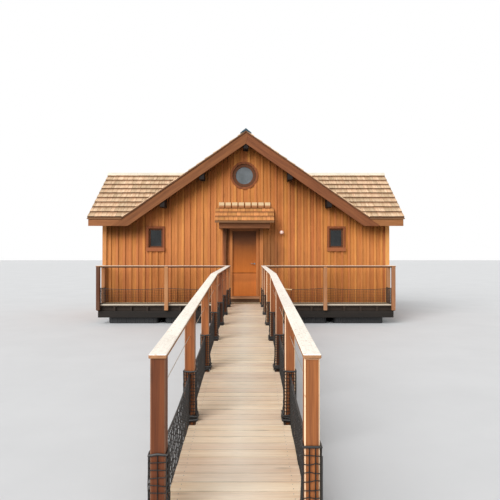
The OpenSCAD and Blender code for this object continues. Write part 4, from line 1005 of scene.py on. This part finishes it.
def decks():
    s, spec = shared, deckBoard
    heads = walkBoards("gangwayBoards", -6.607, -0.561, 0.0, ("gangway_deck",), 61)
    heads += walkBoards("rampBoards", -12.104, -6.611, math.atan(s["rampSlope"]), ("ramp_deck",), 62)
    base = blockOf("platformBase", (-s["halfDeck"] + 0.001, s["deckFront"] + 0.001, 0.5), (s["halfDeck"] - 0.001, s["deckBack"] - 0.001, 0.524), 0)
    middle = blockOf("platformMiddle", (-s["halfDeck"] + 0.022, 0.002, 0.524), (s["halfDeck"] - 0.022, s["depth"] - 0.002, 0.57), 0)
    piece = markTimber(softEdges(joined([base, middle], "platformBase"), 0.002), 3)
    finishPiece(piece, finishes["joist"], "deck_wood", "platform_deck")
    rng = random.Random(5)
    wide = 0.134 - spec["gap"]
    template = blockOf("board", (-0.5, -wide / 2, -spec["thick"]), (0.5, wide / 2, 0), bevel=0.003)
    places = []
    for start, end in ((s["deckFront"] + 0.022, -0.001), (s["depth"] + 0.001, s["deckBack"] - 0.022)):
        width = (end - start) / 4
        for row in range(4):
            y = start + (row + 0.5) * width
            breaks = [-s["halfDeck"] + 0.022] + [(-1.42 if row % 2 else -0.71) + 2.13 * k for k in range(-1, 3)]
            breaks = [b for b in breaks if -4.2 < b < 4.0 or b < -4.2] + [s["halfDeck"] - 0.022]
            breaks = sorted(set(round(b, 3) for b in breaks if b >= -s["halfDeck"]))
            for a, b in zip(breaks, breaks[1:]):
                if b - a > 0.01:
                    places.append(Matrix.Translation(((a + b) / 2, y, s["deckTop"] - rng.uniform(0, 0.001)))
                                  @ Matrix.Diagonal((b - a - 0.003, (width - spec["gap"]) / wide, 1, 1)))
                    for x in np.arange(a + 0.03, b, 0.468):
                        heads += [Matrix.Translation((x, y + w, s["deckTop"])) for w in (-0.035, 0.035)]
    finishPiece(markTimber(spread(template, places, "platformBoards"), 7), finishes["platformDeck"], "deck_wood", "platform_deck")
    w, f, b, h = s["halfDeck"], s["deckFront"], s["deckBack"], s["halfDeck"] - 0.02
    for word, low, high, finish in (("platformEdges", 0.532, 0.57, "deckEdge"), ("platformRims", 0.5, 0.53, "joist")):
        edges = [blockOf("edge", (-w, f, low), (w, f + 0.02, high), 0.003), blockOf("edge", (-w, b - 0.02, low), (w, b, high), 0.003),
                 blockOf("edge", (-w, f + 0.021, low), (-h, b - 0.021, high), 0.003),
                 blockOf("edge", (h, f + 0.021, low), (w, b - 0.021, high), 0.003)]
        finishPiece(markTimber(joined(edges, word), 8), finishes[finish], "deck_wood", "platform_deck")
    screwHeads("deckScrews", heads)


decks()
print("decks boarded")


# timber that keeps the CAD's form, with its arrises eased; the last entry gives the axis and the places of open joints
def dressed(node, name, finish, slot, bevel, seed, seams=None, body="boathouse"):
    piece = copyOfNode(node, name)
    if seams:
        piece = parted(piece, *seams)
    if bevel:
        softEdges(piece, bevel)
    markTimber(piece, seed)
    return finishPiece(piece, finishes[finish], slot, node, body=body)


timbers = {
    "floats": ("floatShells", "float", "float_plastic", 0.014, None),
    "cross_beams": ("crossBeams", "beam", "beam_wood", 0.006, None),
    "joists": ("joistRow", "joist", "joist_wood", 0.004, None),
    "stringers": ("stringerBeams", "stringer", "beam_wood", 0.004, None),
    "platform_posts": ("platformPosts", "platformPost", "post_wood", 0.006, None),
    "gangway_posts": ("gangwayPosts", "post", "post_wood", 0.008, None),
    "platform_handrails": ("platformRails", "rail", "handrail_wood", 0.004, (0, (-2.26, 2.26))),
    "gangway_handrails": ("gangwayRails", "rail", "handrail_wood", 0.004, (1, (-10.16, -3.06))),
    "corner_boards": ("cornerBoards", "trim", "trim_wood", 0.002, None),
    "bargeboards": ("bargeBoards", "barge", "barge_wood", 0.003, None),
    "fascias": ("eavesFascias", "fascia", "barge_wood", 0.003, None),
    "purlins": ("purlinEnds", "purlin", "roof_wood", 0.004, None),
    "window_frames": ("windowFrames", "window", "window_wood", 0.0025, None),
    "door_frame": ("doorFrame", "frame", "trim_wood", 0.002, None),
    "threshold": ("doorSill", "sill", "sill_wood", 0.003, None),
    "canopy_frame": ("canopyFrame", "canopyTrim", "barge_wood", 0.003, None),
    "main_ridge_cap": ("mainRidgeSheets", "cap", "ridge_metal", 0.001, (1, (0.55, 1.55, 2.55, 3.55))),
    "wing_ridge_caps": ("wingRidgeSheets", "paintedSunlitCap", "ridge_pale", 0.001, (0, (-3.6, 3.6))),
    "gangway_wires": ("strandedWires", "wire", "wire_steel", 0, None),
}
for number, (part, (name, finish, slot, bevel, seams)) in enumerate(timbers.items()):
    dressed(part, name, finish, slot, bevel, 100 + number, seams)
pane = {"x": 2.68, "z": 2.4735, "slim": 0.024}


def slimmer(piece):
    # sash bars and casings draw in towards the line between them
    for vert in piece.data.vertices:
        across, up = abs(vert.co.x) - pane["x"], vert.co.z - pane["z"]
        if abs(across) > 0.32 or abs(up) > 0.42:
            continue
        shift = [0, 0]
        for k, (part, inner, outer) in enumerate(((across, 0.17, 0.25), (up, 0.25, 0.33))):
            if abs(part) < inner:
                shift[k] = math.copysign(pane["slim"], part)
            elif abs(part) > outer and (k == 0 or part > 0):
                shift[k] = -math.copysign(pane["slim"], part)
        vert.co.x += shift[0] * math.copysign(1, vert.co.x)
        vert.co.z += shift[1]
    return piece


slimmer(bpy.data.objects["windowFrames"])
finishPiece(slimmer(copyOfNode("window_panes", "windowPanes")), finishes["pane"], "pane_glass", "window_panes")
leaf = {"stileX": 0.19, "groove": 0.006, "deep": 0.005, "face": 0.155}
door = dressed("door_leaf", "doorLeaf", "door", "door_wood", 0.002, 130, body="door")
stile = blockOf("stileGroove", (leaf["stileX"], leaf["face"] - 0.01, 0), (leaf["stileX"] + leaf["groove"], leaf["face"] + leaf["deep"], 4), 0)
without(door, stile)
bpy.data.objects.remove(stile)
markTimber(door, 130)
postTones = {(-0.495, -11.935): 0.0, (0.495, -11.935): 0.72, (-0.495, -10.16): 0.42, (0.495, -10.16): 0.5,
             (-0.495, -8.385): 0.55, (0.495, -8.385): 0.2, (-0.495, -6.61): 0.45, (0.495, -6.61): 0.35}
for (x, y), tone in postTones.items():
    retone(bpy.data.objects["gangwayPosts"], (x - 0.06, y - 0.06, 0), (x + 0.06, y + 0.06, 2), tone)
# platform posts get tones one by one: the right corner post lighter as painted light, the left corner post darker
for x, tone in ((-4.2, -0.25), (-2.26, 0.75), (2.26, 0.6), (4.2, 0.4)):
    retone(bpy.data.objects["platformPosts"], (x - 0.06, -0.7, 0), (x + 0.06, -0.5, 2), tone)
print("timber dressed")

barBelow = {"deep": 0.012, "high": 0.03, "under": 1.643}


def railBars():  # flat bars under the platform's handrails, from post to post
    spec, bars = barBelow, []
    low, high = spec["under"] - spec["high"], spec["under"]
    for side in (-1, 1):
        for a, b in ((0.545, 2.21), (2.31, 4.15)):
            bars.append(blockOf("bar", (min(side * a, side * b), -0.61 - spec["deep"] / 2, low),
                                (max(side * a, side * b), -0.61 + spec["deep"] / 2, high), 0.002))
        for a, b in ((-0.56, -0.125), (3.765, 4.2)):
            bars.append(blockOf("bar", (side * 4.2 - spec["deep"] / 2, a, low), (side * 4.2 + spec["deep"] / 2, b, high), 0.002))
    for a, b in ((-4.15, -2.15), (-2.05, -0.05), (0.05, 2.05), (2.15, 4.15)):
        bars.append(blockOf("bar", (a, 4.25 - spec["deep"] / 2, low), (b, 4.25 + spec["deep"] / 2, high), 0.002))
    finishPiece(joined(bars, "railBars"), finishes["bar"], "wire_steel")


railBars()

lamp = {"x": 1.055, "z": 2.64, "globe": 0.06, "centre": -0.09, "plate": 0.045, "thick": 0.014}


def drum(radius, depth, y, vertices=32, bevel=0.002):
    deselect()
    bpy.ops.mesh.primitive_cylinder_add(vertices=vertices, radius=radius, depth=depth, location=(lamp["x"], y, lamp["z"]),
                                        rotation=(math.pi / 2, 0, 0))
    piece = bpy.context.object
    bpy.ops.object.transform_apply(location=True, rotation=True, scale=True)
    return softEdges(piece, bevel, 2)


def wallLamp():
    spec = lamp
    deselect()
    bpy.ops.mesh.primitive_uv_sphere_add(segments=32, ring_count=20, radius=spec["globe"] - 0.001,
                                         location=(spec["x"], spec["centre"], spec["z"]), rotation=(math.pi / 2, 0, 0))
    globe = bpy.context.object
    bpy.ops.object.transform_apply(location=True, rotation=True, scale=True)
    choose(globe, lambda f: abs(f.center.y - spec["centre"]) < 0.006, "FACE")  # the seam between the globe's halves
    bpy.ops.mesh.inset(thickness=0.002, depth=-0.0008)
    objectMode()
    pick(globe)
    bpy.ops.object.shade_smooth_by_angle(angle=math.radians(30))
    finishPiece(globe, finishes["globe"], "lamp_glass", "wall_lamp")
    holder = joined([drum(spec["plate"], spec["thick"], -spec["thick"] / 2), drum(0.024, 0.03, -0.026),
                     drum(0.03, 0.01, -0.038)], "lampHolder")
    finishPiece(holder, finishes["metal"], "lamp_glass", "wall_lamp")
    globe.name = "lampGlobe"


wallLamp()

# pieces whose CAD form is right, with their own finish
carried = {
    "cabin_floor": ("floor", "floor_wood"),
    "main_roof_left": ("roofDeck", "roof_wood"), "main_roof_right": ("roofDeck", "roof_wood"),
    "wing_roof_left": ("roofDeck", "roof_wood"), "wing_roof_right": ("roofDeck", "roof_wood"),
    "door_hardware": ("metal", "door_metal"), "frame_hinges": ("metal", "door_metal"),
}
for part, (finish, slot) in carried.items():
    nodes[part].data.materials.clear()
    nodes[part].data.materials.append(finishes[finish])

# nets: hung panels between the posts, wound round each post
net = {"cell": 0.05, "cord": 0.0065, "rope": 0.008, "top": 0.455, "sag": 0.035, "slack": 0.002, "out": 0.007, "wound": 0.01}


def netPanel(start, end, ground, foot, seed, sag=1.0):
    # start and end are (x, y), ground gives the deck's height and foot the net's lower edge from there
    rng = random.Random(seed)
    a, b = Vector((*start, 0)), Vector((*end, 0))
    length = (b - a).length
    dip = net["sag"] * sag * rng.uniform(0.7, 1.3) * min(1.0, length / 1.6)
    side = (b - a).cross(Vector((0, 0, 1))).normalized()

    def hang(along, up, off=0.0):
        spot = a.lerp(b, along) + side * off
        drop = dip * 4 * along * (1 - along) * up
        return Vector((spot.x, spot.y, ground(spot.y) + foot + up * (net["top"] - foot) - drop))

    deselect()
    bpy.ops.mesh.primitive_grid_add(x_subdivisions=max(2, round(length / net["cell"])),
                                    y_subdivisions=round((net["top"] - foot) / net["cell"]), size=1)
    piece = bpy.context.object
    for vert in piece.data.vertices:
        inner = 0.01 < vert.co.x + 0.5 < 0.99
        slack = [rng.uniform(-1, 1) * net["slack"] * inner for k in range(3)]
        vert.co = hang(vert.co.x + 0.5, vert.co.y + 0.5, slack[0]) + Vector((0, slack[1], slack[2]))
    ropes = [tube("rope", [hang(k / 12, up) for k in range(13)], net["rope"], 8) for up in (0.0, 1.0)]
    return piece, ropes


def postWrap(x, y, low, high, seed, columns, rows):
    # the net goes round the post, with a rope at its head and a bunch at its foot
    rng = random.Random(seed)
    half, total = 0.05 + net["out"], columns * 4
    corners = [Vector(c) * half for c in ((-1, -1), (1, -1), (1, 1), (-1, 1), (-1, -1))]
    jitter = {}

    def around(column, up):
        turn = column % total / columns
        spot = corners[int(turn)].lerp(corners[int(turn) + 1], turn % 1)
        row = round(up * rows)
        if (column % total, row) not in jitter:
            jitter[(column % total, row)] = (rng.uniform(0, 0.026) * max(0.0, 1 - up * 2.2) + rng.uniform(0, 0.003),
                                             rng.uniform(-1, 1) * 0.07 / rows)
        bulge, sway = jitter[(column % total, row)]
        return Vector((x + spot.x * (1 + bulge / half), y + spot.y * (1 + bulge / half), low + up * (high - low) + sway * (0 < row)))

    deselect()
    bpy.ops.mesh.primitive_grid_add(x_subdivisions=total, y_subdivisions=rows, size=1)
    piece = bpy.context.object
    for vert in piece.data.vertices:
        vert.co = around(round((vert.co.x + 0.5) * total), vert.co.y + 0.5)
    wholeMesh(piece)
    bpy.ops.mesh.remove_doubles(threshold=1e-4)
    bpy.ops.mesh.normals_make_consistent(inside=False)
    objectMode()
    ropes = [tube("rope", [around(k * columns / 2, 1.0) for k in range(8)], net["rope"] + 0.001, 8, cyclic=True)]
    for level, girth in ((0.052, 0.013), (0.07, 0.011), (0.088, 0.009)):
        loop = [corners[k // 2].lerp(corners[k // 2 + 1], k % 2 / 2) * rng.uniform(1.06, 1.42) for k in range(8)]
        ropes.append(tube("rope", [Vector((x + c.x, y + c.y, low + level + rng.uniform(-0.008, 0.008))) for c in loop], girth, 8,
                          cyclic=True))
    return piece, ropes


def netOf(made, name, ropesName, stands, cord=net["cord"]):
    mesh = joined([panel for panel, ropes in made], name)
    withModifier(mesh, "WIREFRAME", thickness=cord, use_even_offset=False, use_boundary=True)
    finishPiece(mesh, finishes["net"], "net_cord", *stands)
    ropes = joined([rope for panel, pair in made for rope in pair], ropesName)
    finishPiece(ropes, finishes["net"], "net_cord", *stands)


def nets():
    s = shared
    made, wraps, ys = [], [], s["postYs"]
    for side in (-1, 1):
        x = side * s["postLine"]
        for k, (a, b) in enumerate(zip(ys, ys[1:])):
            made.append(netPanel((x, a + 0.055), (x, b - 0.055), walkZ, -0.04, k + (20 if side > 0 else 0)))
        for k, y in enumerate(ys):
            head = net["top"] + (0.05 if side > 0 and k == 0 else 0.025 if k == 1 else 0.0)
            wraps.append(postWrap(x, y, walkZ(y) - 0.04, walkZ(y) + head, 80 + k + (20 if side > 0 else 0),
                                  *((5, 16) if k else (3, 10) if side > 0 else (2, 10))))
    x, y = s["postLine"] + 0.058, ys[0] - 0.062  # the net's rolled end by the first right post
    wraps[-1][1].append(tube("rope", [(x, y, walkZ(y) - 0.03 + 0.06 * k) for k in range(9)], 0.009, 8))
    netOf(made, "gangwayNetMesh", "gangwayNetRopes", ("gangway_nets",))
    netOf(wraps, "postNetWraps", "postWrapRopes", (), net["wound"])
    made = []
    flat = lambda y: s["deckTop"]
    for side in (-1, 1):
        for k, (a, b) in enumerate(((0.50, 2.26), (2.26, 4.2))):
            made.append(netPanel((side * a, -0.557), (side * b, -0.557), flat, 0.008, 40 + k + side, 1.2))
        made.append(netPanel((side * 4.147, -0.55), (side * 4.147, -0.03), flat, 0.008, 50))
        made.append(netPanel((side * 4.147, 3.67), (side * 4.147, 4.19), flat, 0.008, 51))
        for k, (a, b) in enumerate(((0.0, 2.1), (2.1, 4.2))):
            made.append(netPanel((side * a, 4.197), (side * b, 4.197), flat, 0.008, 60 + k + side, 1.2))
    netOf(made, "platformNetMesh", "platformNetRopes", ("platform_nets",), net["cord"] * 1.3)
    bound = tube("tiedCord", [(1.07 + 0.03 * k, -0.563, 1.005 - 0.003 * k + 0.004 * (k % 2)) for k in range(9)], 0.017, 8)
    finishPiece(bound, finishes["lashing"], "net_cord")


nets()
print("nets hung")
